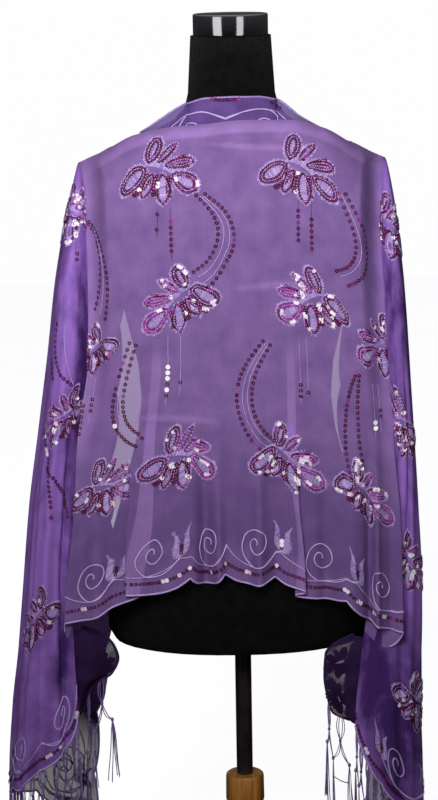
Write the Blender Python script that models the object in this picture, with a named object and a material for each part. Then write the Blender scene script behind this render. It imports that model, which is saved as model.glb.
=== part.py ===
"""A sheer lace shawl draped over a limbless dress form on a turned wooden stand.

Metres, +Z up, the floor at Z = 0 and the stand's pole upright on X = 0. The shawl's middle lies over
the form's back, which faces -Y. Its two ends go over the shoulders and hang down beside the form,
each wrapped round from the back to the chest side, with a knotted fringe along its short edge.
The form's and the cloth's tables are measured from the form's own axis and up from its flat bottom.
"""

import math
from collections import namedtuple

import bpy
import numpy as np
from mathutils import Vector
from mathutils.bvhtree import BVHTree

# Stand
HUB_TOP = 0.402
HUB_BOTTOM = 0.150
POLE_RADIUS = 0.011
LEG_REACH = 0.365
LEG_THICKNESS = 0.024
LEG_ANGLES = (90.0, 210.0, 330.0)
LEG_SPREAD = math.radians(30.0)
FOOT_LENGTH = 0.034
# The one leg on the chest side reaches further than the other two, so the pole stands back by half of that
BACK_REACH = LEG_REACH * math.sin(LEG_SPREAD) + LEG_THICKNESS / 2 * math.cos(LEG_SPREAD)
POLE_Y = (BACK_REACH - LEG_REACH) / 2
POLE_AXIS = (0.0, POLE_Y, 0.0)

# Dress form
FORM_BOTTOM = 0.595
NECK_TOP = 0.8035
CAP_RADIUS = 0.0485
CAP_HEIGHT = 0.0275
FORM_SQUARENESS = 2.25
FORM_SIDES = 40
NECK_RADIUS = 0.0575
FORM_AXIS = (-0.0035, POLE_Y + 0.010, 0.0)

# Cloth and fringe
FRINGE_LENGTH = 0.170
CORNER_FRINGE_LENGTH = 0.153
CLOTH = 0.0016
FRINGE = 0.0020
SEAM_GAP = 0.0003
SEAM_REACH = 0.0012
KNOT_DROP = 0.0026
CLEARANCE = 0.0052
NECK_CLEARANCE = 0.0016
SHOULDER_ROUND = 0.085
FOLD_DEPTH = 0.016
PANEL_BACK = -0.112
SIDE_TURN = 0.080
SIDE_STAND = 0.010

# Rows and columns of each piece's grid
Grid = namedtuple("Grid", "rows columns")
PANEL_GRID = Grid(20, 40)
END_GRID = Grid(19, 27)
CORNER_GRID = Grid(9, 5)
COLLAR_GRID = Grid(25, 7)
FRINGE_COLUMNS = 23
CORNER_FRINGE_COLUMNS = 7

Ring = namedtuple("Ring", "up half_width back chest")
FORM_RINGS = (
    Ring(0.0000, 0.1560, 0.0940, 0.0920),
    Ring(0.0045, 0.1690, 0.1050, 0.1030),
    Ring(0.0190, 0.1770, 0.1110, 0.1090),
    Ring(0.0750, 0.1795, 0.1150, 0.1110),
    Ring(0.1450, 0.1700, 0.1120, 0.1060),
    Ring(0.2200, 0.1480, 0.0970, 0.0960),
    Ring(0.2850, 0.1310, 0.0860, 0.0900),
    Ring(0.3300, 0.1255, 0.0830, 0.0890),
    Ring(0.3750, 0.1290, 0.0860, 0.0940),
    Ring(0.4350, 0.1430, 0.0950, 0.1110),
    Ring(0.4950, 0.1570, 0.1040, 0.1260),
    Ring(0.5450, 0.1690, 0.1090, 0.1150),
    Ring(0.5850, 0.1850, 0.1060, 0.0950),
    Ring(0.6130, 0.1930, 0.0990, 0.0800),
    Ring(0.6330, 0.1940, 0.0880, 0.0680),
    Ring(0.6470, 0.1850, 0.0780, 0.0610),
    Ring(0.6600, 0.1610, 0.0700, 0.0570),
    Ring(0.6720, 0.1290, 0.0640, 0.0550),
    Ring(0.6840, 0.0980, 0.0600, 0.0540),
    Ring(0.6970, 0.0740, 0.0570, 0.0540),
    Ring(0.7120, 0.0610, 0.0555, 0.0540),
    Ring(0.7300, 0.0565, 0.0545, 0.0535),
    Ring(NECK_TOP, 0.0520, 0.0520, 0.0520),
)

Turning = namedtuple("Turning", "height radius")
HUB_PROFILE = (
    Turning(HUB_TOP, 0.0235),
    Turning(HUB_TOP - 0.003, 0.0258),
    Turning(HUB_TOP - 0.036, 0.0262),
    Turning(HUB_TOP - 0.040, 0.0248),
    Turning(HUB_TOP - 0.047, 0.0292),
    Turning(HUB_TOP - 0.058, 0.0300),
    Turning(HUB_TOP - 0.068, 0.0270),
    Turning(HUB_TOP - 0.082, 0.0290),
    Turning(HUB_TOP - 0.110, 0.0352),
    Turning(HUB_TOP - 0.140, 0.0380),
    Turning(HUB_BOTTOM + 0.014, 0.0380),
    Turning(HUB_BOTTOM + 0.004, 0.0340),
    Turning(HUB_BOTTOM, 0.0260),
)
HUB_WAIST = 0.0380

# The leg's centreline in its own upright plane: out from the pole, up from the floor, and half its depth
LegRow = namedtuple("LegRow", "out up half")
LEG_ROWS = (
    LegRow(HUB_WAIST + SEAM_GAP, 0.2060, 0.0340),
    LegRow(0.085, 0.1960, 0.0300),
    LegRow(0.150, 0.1540, 0.0235),
    LegRow(0.215, 0.0940, 0.0190),
    LegRow(0.270, 0.0480, 0.0160),
    LegRow(0.315, 0.0240, 0.0140),
    LegRow(LEG_REACH - FOOT_LENGTH, 0.0150, 0.0150),
    LegRow(LEG_REACH, 0.0140, 0.0140),
)

# One hanging end at a height: its inner fold, outermost side and chest edge in X, its two faces in Y,
# and how far its back face swells out beyond the inner fold
Wrap = namedtuple("Wrap", "up fold outer edge back chest swell")
LEFT_WRAPS = (
    Wrap(0.640, -0.1880, -0.2060, -0.1380, -0.1050, 0.0900, 0.0130),
    Wrap(0.560, -0.1880, -0.2215, -0.1400, -0.1060, 0.0900, 0.0130),
    Wrap(0.490, -0.1875, -0.2330, -0.1460, -0.1160, 0.1130, 0.0150),
    Wrap(0.400, -0.1900, -0.2428, -0.1524, -0.1210, 0.1200, 0.0150),
    Wrap(0.300, -0.2050, -0.2560, -0.1590, -0.1240, 0.1180, 0.0150),
    Wrap(0.200, -0.2120, -0.2710, -0.1680, -0.1260, 0.1190, 0.0110),
    Wrap(0.080, -0.2190, -0.2838, -0.1800, -0.1270, 0.1220, 0.0060),
    Wrap(0.000, -0.2180, -0.2925, -0.1860, -0.1260, 0.1220, 0.0090),
    Wrap(-0.080, -0.2145, -0.3035, -0.1920, -0.1230, 0.1200, 0.0130),
    Wrap(-0.180, -0.2150, -0.3115, -0.2000, -0.1190, 0.1180, 0.0130),
    Wrap(-0.320, -0.2165, -0.3140, -0.2060, -0.1160, 0.1160, 0.0130),
)
RIGHT_WRAPS = (
    Wrap(0.640, 0.1860, 0.2035, 0.1330, -0.1050, 0.0900, 0.0130),
    Wrap(0.560, 0.1860, 0.2125, 0.1350, -0.1060, 0.0900, 0.0130),
    Wrap(0.490, 0.1890, 0.2195, 0.1410, -0.1160, 0.1130, 0.0150),
    Wrap(0.400, 0.1930, 0.2254, 0.1455, -0.1210, 0.1200, 0.0150),
    Wrap(0.300, 0.1995, 0.2305, 0.1390, -0.1240, 0.1180, 0.0060),
    Wrap(0.200, 0.1900, 0.2350, 0.1440, -0.1250, 0.1190, 0.0000),
    Wrap(0.080, 0.1680, 0.2396, 0.1560, -0.1240, 0.1220, 0.0000),
    Wrap(0.000, 0.1580, 0.2397, 0.1620, -0.1230, 0.1220, 0.0030),
    Wrap(-0.080, 0.1500, 0.2400, 0.1680, -0.1210, 0.1200, 0.0090),
    Wrap(-0.180, 0.1480, 0.2430, 0.1740, -0.1180, 0.1180, 0.0130),
    Wrap(-0.320, 0.1500, 0.2460, 0.1780, -0.1160, 0.1160, 0.0130),
)

# Stations round a wrap: shares of the way from the fold to the outer side and in from the back face,
# then shares of the way from the outer side to the chest edge and in from the chest face
BackStation = namedtuple("BackStation", "out deep swell")
BACK_STATIONS = (
    BackStation(0.00, FOLD_DEPTH, 0.0),
    BackStation(0.28, FOLD_DEPTH, 1.0),
    BackStation(0.78, FOLD_DEPTH, 0.4),
    BackStation(0.96, 0.055, 0.0),
    BackStation(1.00, 0.115, 0.0),
)
ChestStation = namedtuple("ChestStation", "inward deep")
CHEST_STATIONS = (
    ChestStation(0.02, 0.060),
    ChestStation(0.22, 0.008),
    ChestStation(0.62, 0.000),
    ChestStation(1.00, 0.006),
)
FIRST_SPAN = 0.011
SPANS = len(BACK_STATIONS) + len(CHEST_STATIONS) - 1

# Where each wrap's stations hang from on the shoulder, from the inner fold round to the chest edge
Peg = namedtuple("Peg", "share x y up")
LEFT_PEGS = (
    Peg(0.00, -0.1975, -0.0260, 0.6460),
    Peg(0.15, -0.2000, -0.0200, 0.6450),
    Peg(0.30, -0.2012, -0.0120, 0.6445),
    Peg(0.50, -0.2010, -0.0030, 0.6450),
    Peg(0.70, -0.1900, 0.0040, 0.6510),
    Peg(0.86, -0.1600, 0.0060, 0.6640),
    Peg(1.00, -0.1280, 0.0060, 0.6790),
)
RIGHT_PEGS = (
    Peg(0.00, 0.1950, -0.0260, 0.6460),
    Peg(0.15, 0.1975, -0.0200, 0.6450),
    Peg(0.30, 0.1988, -0.0120, 0.6445),
    Peg(0.50, 0.1985, -0.0030, 0.6450),
    Peg(0.70, 0.1870, 0.0040, 0.6510),
    Peg(0.86, 0.1560, 0.0060, 0.6650),
    Peg(1.00, 0.1190, 0.0060, 0.6810),
)

# The short edge of each end, where the fringe is knotted on
Rim = namedtuple("Rim", "share up")
LEFT_RIM = (
    Rim(0.00, -0.0750),
    Rim(0.10, -0.1180),
    Rim(0.22, -0.1580),
    Rim(0.36, -0.1900),
    Rim(0.60, -0.2300),
    Rim(0.80, -0.2720),
    Rim(1.00, -0.3080),
)
RIGHT_RIM = (
    Rim(0.00, -0.0950),
    Rim(0.08, -0.1370),
    Rim(0.20, -0.2020),
    Rim(0.36, -0.2440),
    Rim(0.60, -0.2680),
    Rim(0.80, -0.2860),
    Rim(1.00, -0.3120),
)

# The corner of each end, which hangs inside the inner fold, below the back panel
Corner = namedtuple("Corner", "up tip fringed")
LEFT_CORNER = (
    Corner(0.0420, -0.2060, False),
    Corner(0.0300, -0.1800, False),
    Corner(0.0130, -0.1656, False),
    Corner(-0.0035, -0.1607, False),
    Corner(-0.0250, -0.1705, True),
    Corner(-0.0360, -0.1893, True),
    Corner(-0.0495, -0.2002, True),
    Corner(-0.0700, -0.2060, True),
)
RIGHT_CORNER = (
    Corner(0.0250, 0.1480, False),
    Corner(0.0120, 0.1230, False),
    Corner(-0.0030, 0.1108, False),
    Corner(-0.0350, 0.1090, False),
    Corner(-0.0620, 0.1130, True),
    Corner(-0.0820, 0.1190, True),
    Corner(-0.0900, 0.1320, True),
    Corner(-0.0940, 0.1420, True),
)
CORNER_Y = -0.088
CORNER_FRINGE_BEHIND = 0.0020

# Back panel: the ridge that it hangs from, its two side folds and its scalloped hem
Ridge = namedtuple("Ridge", "x y up")
RIDGE = (
    Ridge(-0.1975, -0.0260, 0.6460),
    Ridge(-0.1640, -0.0480, 0.6625),
    Ridge(-0.1250, -0.0740, 0.6840),
    Ridge(-0.0800, -0.0900, 0.6945),
    Ridge(-0.0320, -0.0950, 0.6985),
    Ridge(0.0160, -0.0950, 0.7025),
    Ridge(0.0720, -0.0910, 0.7015),
    Ridge(0.1150, -0.0790, 0.6900),
    Ridge(0.1580, -0.0510, 0.6640),
    Ridge(0.1950, -0.0260, 0.6460),
)
# How far its sides lap over the inner folds of the ends, sideways and behind, and how it bulges
Side = namedtuple("Side", "up left_over right_over behind bulge")
PANEL_SIDES = (
    Side(0.6460, 0.0000, 0.0000, 0.0000, 0.0000),
    Side(0.5600, 0.0000, 0.0000, 0.0000, 0.0080),
    Side(0.4000, 0.0000, 0.0000, 0.0000, 0.0040),
    Side(0.3000, 0.0005, 0.0012, 0.0050, 0.0040),
    Side(0.2000, 0.0015, 0.0185, 0.0100, 0.0060),
    Side(0.0800, 0.0090, 0.0440, 0.0125, 0.0080),
    Side(0.0400, 0.0115, 0.0500, 0.0130, 0.0080),
)
# A cusp of the hem, and how deep the lobe is that follows it
Cusp = namedtuple("Cusp", "x up lobe")
HEM_CUSPS = (
    Cusp(-0.2305, 0.0560, 0.0100),
    Cusp(-0.1450, 0.0900, 0.0110),
    Cusp(-0.0670, 0.1165, 0.0145),
    Cusp(-0.0215, 0.1215, 0.0120),
    Cusp(0.0445, 0.1145, 0.0130),
    Cusp(0.1380, 0.0830, 0.0110),
    Cusp(0.2132, 0.0350, 0.0000),
)
# A fold of the panel: where it meets the hem, how far it stands out, half its width, where it fades
Pleat = namedtuple("Pleat", "x out half_width fades_at")
PLEATS = (
    Pleat(-0.185, 0.006, 0.014, 0.330),
    Pleat(-0.152, -0.011, 0.011, 0.420),
    Pleat(-0.126, 0.009, 0.013, 0.440),
    Pleat(-0.080, 0.003, 0.020, 0.300),
    Pleat(-0.038, -0.013, 0.012, 0.330),
    Pleat(-0.012, 0.005, 0.014, 0.300),
    Pleat(0.030, 0.006, 0.013, 0.420),
    Pleat(0.070, 0.007, 0.014, 0.360),
    Pleat(0.098, -0.010, 0.012, 0.400),
    Pleat(0.140, 0.006, 0.018, 0.300),
    Pleat(0.172, -0.007, 0.010, 0.330),
)

# The upright border behind the neck: its top edge leans on the neck
CollarRow = namedtuple("CollarRow", "x up lean")
COLLAR_TOP = (
    CollarRow(-0.1180, 0.6860, 0.000),
    CollarRow(-0.0950, 0.7000, 0.25),
    CollarRow(-0.0623, 0.7181, 0.60),
    CollarRow(-0.0316, 0.7277, 1.00),
    CollarRow(0.0000, 0.7296, 1.00),
    CollarRow(0.0316, 0.7287, 1.00),
    CollarRow(0.0562, 0.7237, 0.70),
    CollarRow(0.0900, 0.7010, 0.25),
    CollarRow(0.1100, 0.6900, 0.000),
)
COLLAR_STAND = 0.0180
TROUGH_DROP = 0.0150
TROUGH_SHARE = 0.45
TROUGH_RISE = 0.0200

# Colour, roughness and metallic value of each material
Finish = namedtuple("Finish", "colour roughness metallic")
FINISHES = {
    "sheer lilac mesh": Finish((0.283, 0.171, 0.468), 0.55, 0.0),
    "lilac fringe": Finish((0.170, 0.080, 0.300), 0.70, 0.0),
    "black jersey": Finish((0.006, 0.006, 0.006), 0.85, 0.0),
    "polished chrome": Finish((0.780, 0.780, 0.790), 0.12, 1.0),
    "black enamelled steel": Finish((0.012, 0.009, 0.008), 0.30, 0.0),
    "waxed beech": Finish((0.300, 0.130, 0.040), 0.45, 0.0),
}


def clear_scene():
    for obj in list(bpy.data.objects):
        bpy.data.objects.remove(obj, do_unlink=True)


def material(name):
    """The named finish as a material, made once and shared."""
    found = bpy.data.materials.get(name)
    if found:
        return found
    made = bpy.data.materials.new(name)
    made.use_nodes = True
    shader = made.node_tree.nodes["Principled BSDF"]
    finish = FINISHES[name]
    shader.inputs["Base Color"].default_value = (*finish.colour, 1.0)
    shader.inputs["Roughness"].default_value = finish.roughness
    shader.inputs["Metallic"].default_value = finish.metallic
    return made


def add_object(name, points, faces, finish, place=FORM_AXIS):
    """A mesh object, shaded smooth, from points measured from the form's axis or from another place."""
    mesh = bpy.data.meshes.new(name)
    mesh.from_pydata([tuple(map(float, p)) for p in points], [], faces)
    mesh.shade_smooth()
    mesh.set_sharp_from_angle(angle=math.radians(40))
    mesh.materials.append(material(finish))
    obj = bpy.data.objects.new(name, mesh)
    obj.location = place
    bpy.context.scene.collection.objects.link(obj)
    return obj


def column(rows, key, value):
    """A smooth curve through one column of a table against another, which never overshoots its rows."""
    table = sorted((getattr(row, key), getattr(row, value)) for row in rows)
    x = np.array([row[0] for row in table])
    y = np.array([row[1] for row in table])
    step = np.diff(x)
    slope = np.diff(y) / step
    tangent = np.empty_like(y)
    tangent[0] = slope[0]
    tangent[-1] = slope[-1]
    same_way = slope[:-1] * slope[1:] > 0
    mean = 2 * slope[:-1] * slope[1:] / np.where(same_way, slope[:-1] + slope[1:], 1.0)
    tangent[1:-1] = np.where(same_way, mean, 0.0)

    def at(where):
        where = np.clip(where, x[0], x[-1])
        i = np.clip(np.searchsorted(x, where) - 1, 0, len(step) - 1)
        t = (where - x[i]) / step[i]
        h = step[i]
        return (
            (1 + 2 * t) * (1 - t) ** 2 * y[i]
            + t * (1 - t) ** 2 * h * tangent[i]
            + t * t * (3 - 2 * t) * y[i + 1]
            + t * t * (t - 1) * h * tangent[i + 1]
        )

    return at


def ease(x):
    """Smooth step from 0 to 1."""
    x = np.clip(x, 0.0, 1.0)
    return x * x * (3 - 2 * x)


def along(points, share):
    """The point at a share of the way along a smooth curve through a few points in a plane."""
    count = len(points) - 1
    at = np.clip(share, 0.0, 1.0) * count
    i = min(int(at), count - 1)
    t = at - i
    before = points[max(i - 1, 0)]
    start = points[i]
    end = points[i + 1]
    after = points[min(i + 2, count)]
    return 0.5 * (
        2 * start
        + (end - before) * t
        + (2 * before - 5 * start + 4 * end - after) * t * t
        + (3 * start - before - 3 * end + after) * t**3
    )


class Form:
    """The torso and neck, as a loft of rounded rings, and how near a point of the cloth may come."""

    def __init__(self):
        self.points = []
        for ring in FORM_RINGS:
            for i in range(FORM_SIDES):
                self.points.append(self.ring_point(ring, 2 * math.pi * i / FORM_SIDES))
        self.faces = lofted_faces(len(FORM_RINGS), FORM_SIDES)
        self.tree = BVHTree.FromPolygons([Vector(p) for p in self.points], self.faces)

    @staticmethod
    def ring_point(ring, angle):
        across = math.cos(angle)
        deep = math.sin(angle)
        power = 2 / FORM_SQUARENESS
        x = ring.half_width * math.copysign(abs(across) ** power, across)
        depth = ring.chest if deep > 0 else ring.back
        y = depth * math.copysign(abs(deep) ** power, deep)
        return (x, y, FORM_BOTTOM + ring.up)

    def outside(self, point, clearance):
        """The point, or where it is moved to when it lies nearer to the form than the clearance."""
        near, normal, _, _ = self.tree.find_nearest(Vector(point))
        gap = (Vector(point) - near).dot(normal)
        if gap >= clearance:
            return np.array(point)
        return np.array(near + normal * clearance)


def lofted_faces(rings, sides):
    """Quads between rings of points, with a flat face over each end, turned outwards."""
    faces = [tuple(reversed(range(sides)))]
    for r in range(rings - 1):
        for i in range(sides):
            j = (i + 1) % sides
            faces.append((r * sides + i, r * sides + j, (r + 1) * sides + j, (r + 1) * sides + i))
    faces.append(tuple(range((rings - 1) * sides, rings * sides)))
    return faces


def turned(name, profile, sides, finish, place):
    """A solid of revolution round an upright axis, from rows of height and radius, bottom row first."""
    points = []
    for row in profile:
        for i in range(sides):
            angle = 2 * math.pi * i / sides
            across = row.radius * math.cos(angle)
            deep = row.radius * math.sin(angle)
            points.append((across, deep, row.height))
    return add_object(name, points, lofted_faces(len(profile), sides), finish, place)


class Wrapped:
    """One hanging end: a curtain that drops from the shoulder into a ring open towards the form."""

    def __init__(self, wraps, pegs, rim):
        self.fold = column(wraps, "up", "fold")
        self.outer = column(wraps, "up", "outer")
        self.edge = column(wraps, "up", "edge")
        self.back = column(wraps, "up", "back")
        self.chest = column(wraps, "up", "chest")
        self.swell = column(wraps, "up", "swell")
        self.peg_x = column(pegs, "share", "x")
        self.peg_y = column(pegs, "share", "y")
        self.peg_up = column(pegs, "share", "up")
        self.rim = column(rim, "share", "up")
        self.first = SEAM_REACH / FIRST_SPAN / SPANS

    def ring(self, share, up):
        """X and Y at a share of the way round the ring, from the inner fold to the chest edge."""
        fold = self.fold(up)
        outer = self.outer(up)
        edge = self.edge(up)
        back = self.back(up)
        chest = self.chest(up)
        swell = self.swell(up)
        stations = []
        for row in BACK_STATIONS:
            stations.append((fold + row.out * (outer - fold), back + row.deep - row.swell * swell))
        for row in CHEST_STATIONS:
            stations.append((outer + row.inward * (edge - outer), chest - row.deep))
        return along([np.array(s) for s in stations], share)

    def place(self, share, up):
        """X and Y at a height: rounded over from the shoulder, then straight down the rings."""
        drop = min((self.peg_up(share) - up) / SHOULDER_ROUND, 1.0)
        out = math.sqrt(1 - (1 - drop) ** 2)
        ring_x, ring_y = self.ring(share, up)
        x = self.peg_x(share) + out * (ring_x - self.peg_x(share))
        y = self.peg_y(share) + out * (ring_y - self.peg_y(share))
        return x, y

    def point(self, share, down):
        """A point of the cloth: share goes round the wrap, down goes from the shoulder to the rim."""
        peg_up = self.peg_up(share)
        up = peg_up + down * (self.rim(share) - peg_up)
        return np.array([*self.place(share, up), FORM_BOTTOM + up])

    def rim_point(self, share):
        return self.point(share, 1.0)


class BackPanel:
    """The shawl's middle, from the ridge behind the neck down to the scalloped hem."""

    def __init__(self, left, right):
        self.ends = (left, right)
        self.ridge_y = column(RIDGE, "x", "y")
        self.ridge_up = column(RIDGE, "x", "up")
        self.left_over = column(PANEL_SIDES, "up", "left_over")
        self.right_over = column(PANEL_SIDES, "up", "right_over")
        self.behind = column(PANEL_SIDES, "up", "behind")
        self.bulge = column(PANEL_SIDES, "up", "bulge")

    def hem_up(self, x):
        """Height of the hem: cusps joined by round lobes."""
        for before, after in zip(HEM_CUSPS, HEM_CUSPS[1:]):
            if x <= after.x:
                break
        t = np.clip((x - before.x) / (after.x - before.x), 0.0, 1.0)
        straight = before.up + t * (after.up - before.up)
        return straight - before.lobe * math.sin(math.pi * t) ** 0.8

    def folds(self, x, up):
        """How far the pleats stand out at a place, growing towards the hem."""
        out = 0.0
        for pleat in PLEATS:
            grown = ease((pleat.fades_at - up) / pleat.fades_at) ** 0.8
            out += pleat.out * grown * math.exp(-(((x - pleat.x) / pleat.half_width) ** 2))
        return out

    def point(self, across, down):
        """A point of the cloth: across goes from the left fold to the right, down from ridge to hem."""
        ridge_x = RIDGE[0].x + across * (RIDGE[-1].x - RIDGE[0].x)
        ridge_up = self.ridge_up(ridge_x)
        hem_x = HEM_CUSPS[0].x + across * (HEM_CUSPS[-1].x - HEM_CUSPS[0].x)
        up = ridge_up + down * (self.hem_up(hem_x) - ridge_up)
        level = min(up, RIDGE[0].up)
        left_x, left_y = self.ends[0].place(0.0, level)
        right_x, right_y = self.ends[1].place(0.0, level)
        left_x -= self.left_over(level)
        right_x += self.right_over(level)
        x = left_x + across * (right_x - left_x)
        side_y = left_y + across * (right_y - left_y) - self.behind(level)
        middle = ease(across / SIDE_TURN) * ease((1 - across) / SIDE_TURN)
        stand = self.bulge(level) * math.sin(math.pi * across) ** 0.6 + SIDE_STAND * middle
        drop = min((ridge_up - up) / SHOULDER_ROUND, 1.0)
        out = math.sqrt(1 - (1 - drop) ** 2)
        face = PANEL_BACK - stand
        side = (1 - middle) * side_y + middle * (self.ridge_y(ridge_x) * (1 - out) + out * face)
        y = side - self.folds(x, up) * drop
        return np.array([x, y, FORM_BOTTOM + up])


def wall(name, grid, thickness, finish):
    """A closed wall of even thickness round a grid of points, as a Solidify modifier on its surface."""
    rows = len(grid)
    columns = len(grid[0])
    points = [p for row in grid for p in row]
    faces = []
    for r in range(rows - 1):
        for c in range(columns - 1):
            first = r * columns + c
            faces.append((first, first + 1, first + columns + 1, first + columns))
    obj = add_object(name, points, faces, finish)
    solid = obj.modifiers.new("wall", "SOLIDIFY")
    solid.thickness = thickness
    solid.offset = 0.0
    solid.use_even_offset = False
    solid.use_rim = True
    split = obj.modifiers.new("facets", "TRIANGULATE")
    split.quad_method = "SHORTEST_DIAGONAL"
    return obj


def steps(count, start=0.0, end=1.0):
    return np.linspace(start, end, count)


def build_form():
    form = Form()
    add_object("form_body", form.points, form.faces, "black jersey")
    cap_bottom = FORM_BOTTOM + NECK_TOP + SEAM_GAP
    cap = (
        Turning(cap_bottom, CAP_RADIUS - 0.0010),
        Turning(cap_bottom + 0.0010, CAP_RADIUS),
        Turning(cap_bottom + CAP_HEIGHT - 0.0020, CAP_RADIUS),
        Turning(cap_bottom + CAP_HEIGHT, CAP_RADIUS - 0.0025),
    )
    turned("neck_cap", cap, 48, "polished chrome", FORM_AXIS)
    return form


def build_stand():
    pole = (
        Turning(HUB_TOP + SEAM_GAP, POLE_RADIUS),
        Turning(FORM_BOTTOM - SEAM_GAP, POLE_RADIUS),
    )
    turned("stand_pole", pole, 24, "black enamelled steel", POLE_AXIS)
    turned("stand_hub", HUB_PROFILE[::-1], 36, "waxed beech", POLE_AXIS)
    for number, angle in enumerate(LEG_ANGLES, start=1):
        build_leg(f"stand_leg_{number}", math.radians(angle))


def build_leg(name, angle):
    """A flat-sawn leg: its swept outline in an upright plane, given the timber's thickness."""
    rows = [np.array([row.out, row.up, row.half]) for row in LEG_ROWS]
    outline = [along(rows, t) for t in steps(19)]
    upper = []
    lower = []
    for i, (out, up, half) in enumerate(outline):
        before = outline[max(i - 1, 0)]
        after = outline[min(i + 1, len(outline) - 1)]
        run = np.array([after[0] - before[0], after[1] - before[1]])
        run /= np.linalg.norm(run)
        upper.append((out - run[1] * half, up + run[0] * half))
        lower.append((out + run[1] * half, up - run[0] * half))
    joint = HUB_WAIST + SEAM_GAP
    edge = [(max(out, joint), max(up, 0.0)) for out, up in lower + upper[::-1]]
    edge = [(min(out, LEG_REACH), up) for out, up in edge]
    edge = [p for i, p in enumerate(edge) if math.dist(p, edge[i - 1]) > 0.0005]
    away = Vector((math.cos(angle), math.sin(angle), 0.0))
    aside = Vector((-math.sin(angle), math.cos(angle), 0.0))
    points = []
    for side in (-0.5, 0.5):
        for out, up in edge:
            points.append(away * out + aside * side * LEG_THICKNESS + Vector((0, 0, up)))
    count = len(edge)
    faces = [tuple(range(count)), tuple(range(2 * count - 1, count - 1, -1))]
    for i in range(count):
        j = (i + 1) % count
        faces.append((j, i, count + i, count + j))
    return add_object(name, points, faces, "waxed beech", POLE_AXIS)


def build_back_panel(form, panel):
    inset = SEAM_REACH / (RIDGE[-1].x - RIDGE[0].x)
    shares = steps(PANEL_GRID.columns, inset, 1 - inset)
    grid = []
    for down in steps(PANEL_GRID.rows) ** 1.15:
        grid.append([form.outside(panel.point(across, down), CLEARANCE) for across in shares])
    wall("shawl_back_panel", grid, CLOTH, "sheer lilac mesh")


def build_end(name, form, end):
    shares = steps(END_GRID.columns, end.first)
    grid = []
    for down in steps(END_GRID.rows) ** 1.25:
        grid.append([form.outside(end.point(share, down), CLEARANCE) for share in shares])
    wall(name, grid, CLOTH, "sheer lilac mesh")


def build_fringe(name, end):
    """The reach of the fringe below an end's short edge, as a plain wall."""
    grid = []
    for drop in (KNOT_DROP, 0.5 * FRINGE_LENGTH, FRINGE_LENGTH):
        row = []
        for share in steps(FRINGE_COLUMNS, end.first):
            point = end.rim_point(share)
            row.append(point - np.array([0.0, 0.0, drop]))
        grid.append(row)
    wall(name, grid, FRINGE, "lilac fringe")


def corner_point(end, tip, up, share):
    """A point of a corner: share goes from the end's inner fold out to the corner's free edge."""
    fold_x, fold_y = end.ring(end.first, up)
    start_x = fold_x + math.copysign(SEAM_GAP + CLOTH / 2, tip(up) - fold_x)
    start_y = fold_y + SEAM_GAP
    x = start_x + share * (tip(up) - start_x)
    y = start_y + share * (CORNER_Y - start_y)
    return np.array([x, y, FORM_BOTTOM + up])


def build_corner(name, end, rows):
    tip = column(rows, "up", "tip")
    grid = []
    for up in steps(CORNER_GRID.rows, rows[0].up, rows[-1].up):
        grid.append([corner_point(end, tip, up, t) for t in steps(CORNER_GRID.columns)])
    wall(name, grid, CLOTH, "sheer lilac mesh")


def build_corner_fringe(name, end, rows):
    """The reach of the fringe below the corner's own short edge."""
    tip = column(rows, "up", "tip")
    below = [row for row in rows if row.fringed]
    grid = []
    for drop in (KNOT_DROP, 0.5 * CORNER_FRINGE_LENGTH, CORNER_FRINGE_LENGTH):
        row = []
        for up in steps(CORNER_FRINGE_COLUMNS, below[0].up, below[-1].up):
            point = corner_point(end, tip, up, 1.0)
            row.append(point + np.array([0.0, CORNER_FRINGE_BEHIND, -drop]))
        grid.append(row)
    wall(name, grid, FRINGE, "lilac fringe")


def build_collar(form, panel):
    top_up = column(COLLAR_TOP, "x", "up")
    lean = column(COLLAR_TOP, "x", "lean")
    grid = []
    for x in steps(COLLAR_GRID.rows, COLLAR_TOP[0].x, COLLAR_TOP[-1].x):
        across = (x - RIDGE[0].x) / (RIDGE[-1].x - RIDGE[0].x)
        ridge = panel.point(across, 0.0)
        ridge[1] += SEAM_GAP + CLOTH
        neck = -math.sqrt(max(NECK_RADIUS**2 - x * x, 0.0))
        rest_y = ridge[1] + COLLAR_STAND
        top = np.array([x, rest_y + lean(x) * (neck - rest_y), FORM_BOTTOM + top_up(x)])
        trough = ridge + TROUGH_SHARE * (top - ridge)
        trough[2] = min(ridge[2], top[2]) - TROUGH_DROP * ease((top[2] - ridge[2]) / TROUGH_RISE)
        line = [ridge, trough, top]
        grid.append([form.outside(along(line, t), NECK_CLEARANCE) for t in steps(COLLAR_GRID.columns)])
    wall("shawl_collar", grid, CLOTH, "sheer lilac mesh")


def build_shawl(form):
    left = Wrapped(LEFT_WRAPS, LEFT_PEGS, LEFT_RIM)
    right = Wrapped(RIGHT_WRAPS, RIGHT_PEGS, RIGHT_RIM)
    panel = BackPanel(left, right)
    build_back_panel(form, panel)
    build_collar(form, panel)
    build_end("shawl_left_end", form, left)
    build_end("shawl_right_end", form, right)
    build_corner("shawl_left_corner", left, LEFT_CORNER)
    build_corner("shawl_right_corner", right, RIGHT_CORNER)
    build_fringe("fringe_left", left)
    build_fringe("fringe_right", right)
    build_corner_fringe("fringe_left_corner", left, LEFT_CORNER)
    build_corner_fringe("fringe_right_corner", right, RIGHT_CORNER)


def main():
    clear_scene()
    build_stand()
    form = build_form()
    build_shawl(form)


main()
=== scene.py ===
"""The looks of a sheer lace shawl that is draped over a limbless dress form on a turned wooden stand.

Metres and +Z up, in the CAD model's frame. The shawl's middle lies over the form's back, which faces -Y,
and its two ends hang beside the form. Each stretch of cloth is one thin sheet with two shares, u across
and v down, which run from 0 to 1. Needlework is laid out flat, in metres on the cloth, and is then carried
onto the sheet, so that it bends and hides in the folds as the cloth does.
"""

import logging
import math
from collections.abc import Callable, Iterable, Sequence
from dataclasses import dataclass, field
from enum import Enum
from functools import partial
from typing import NamedTuple

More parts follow.
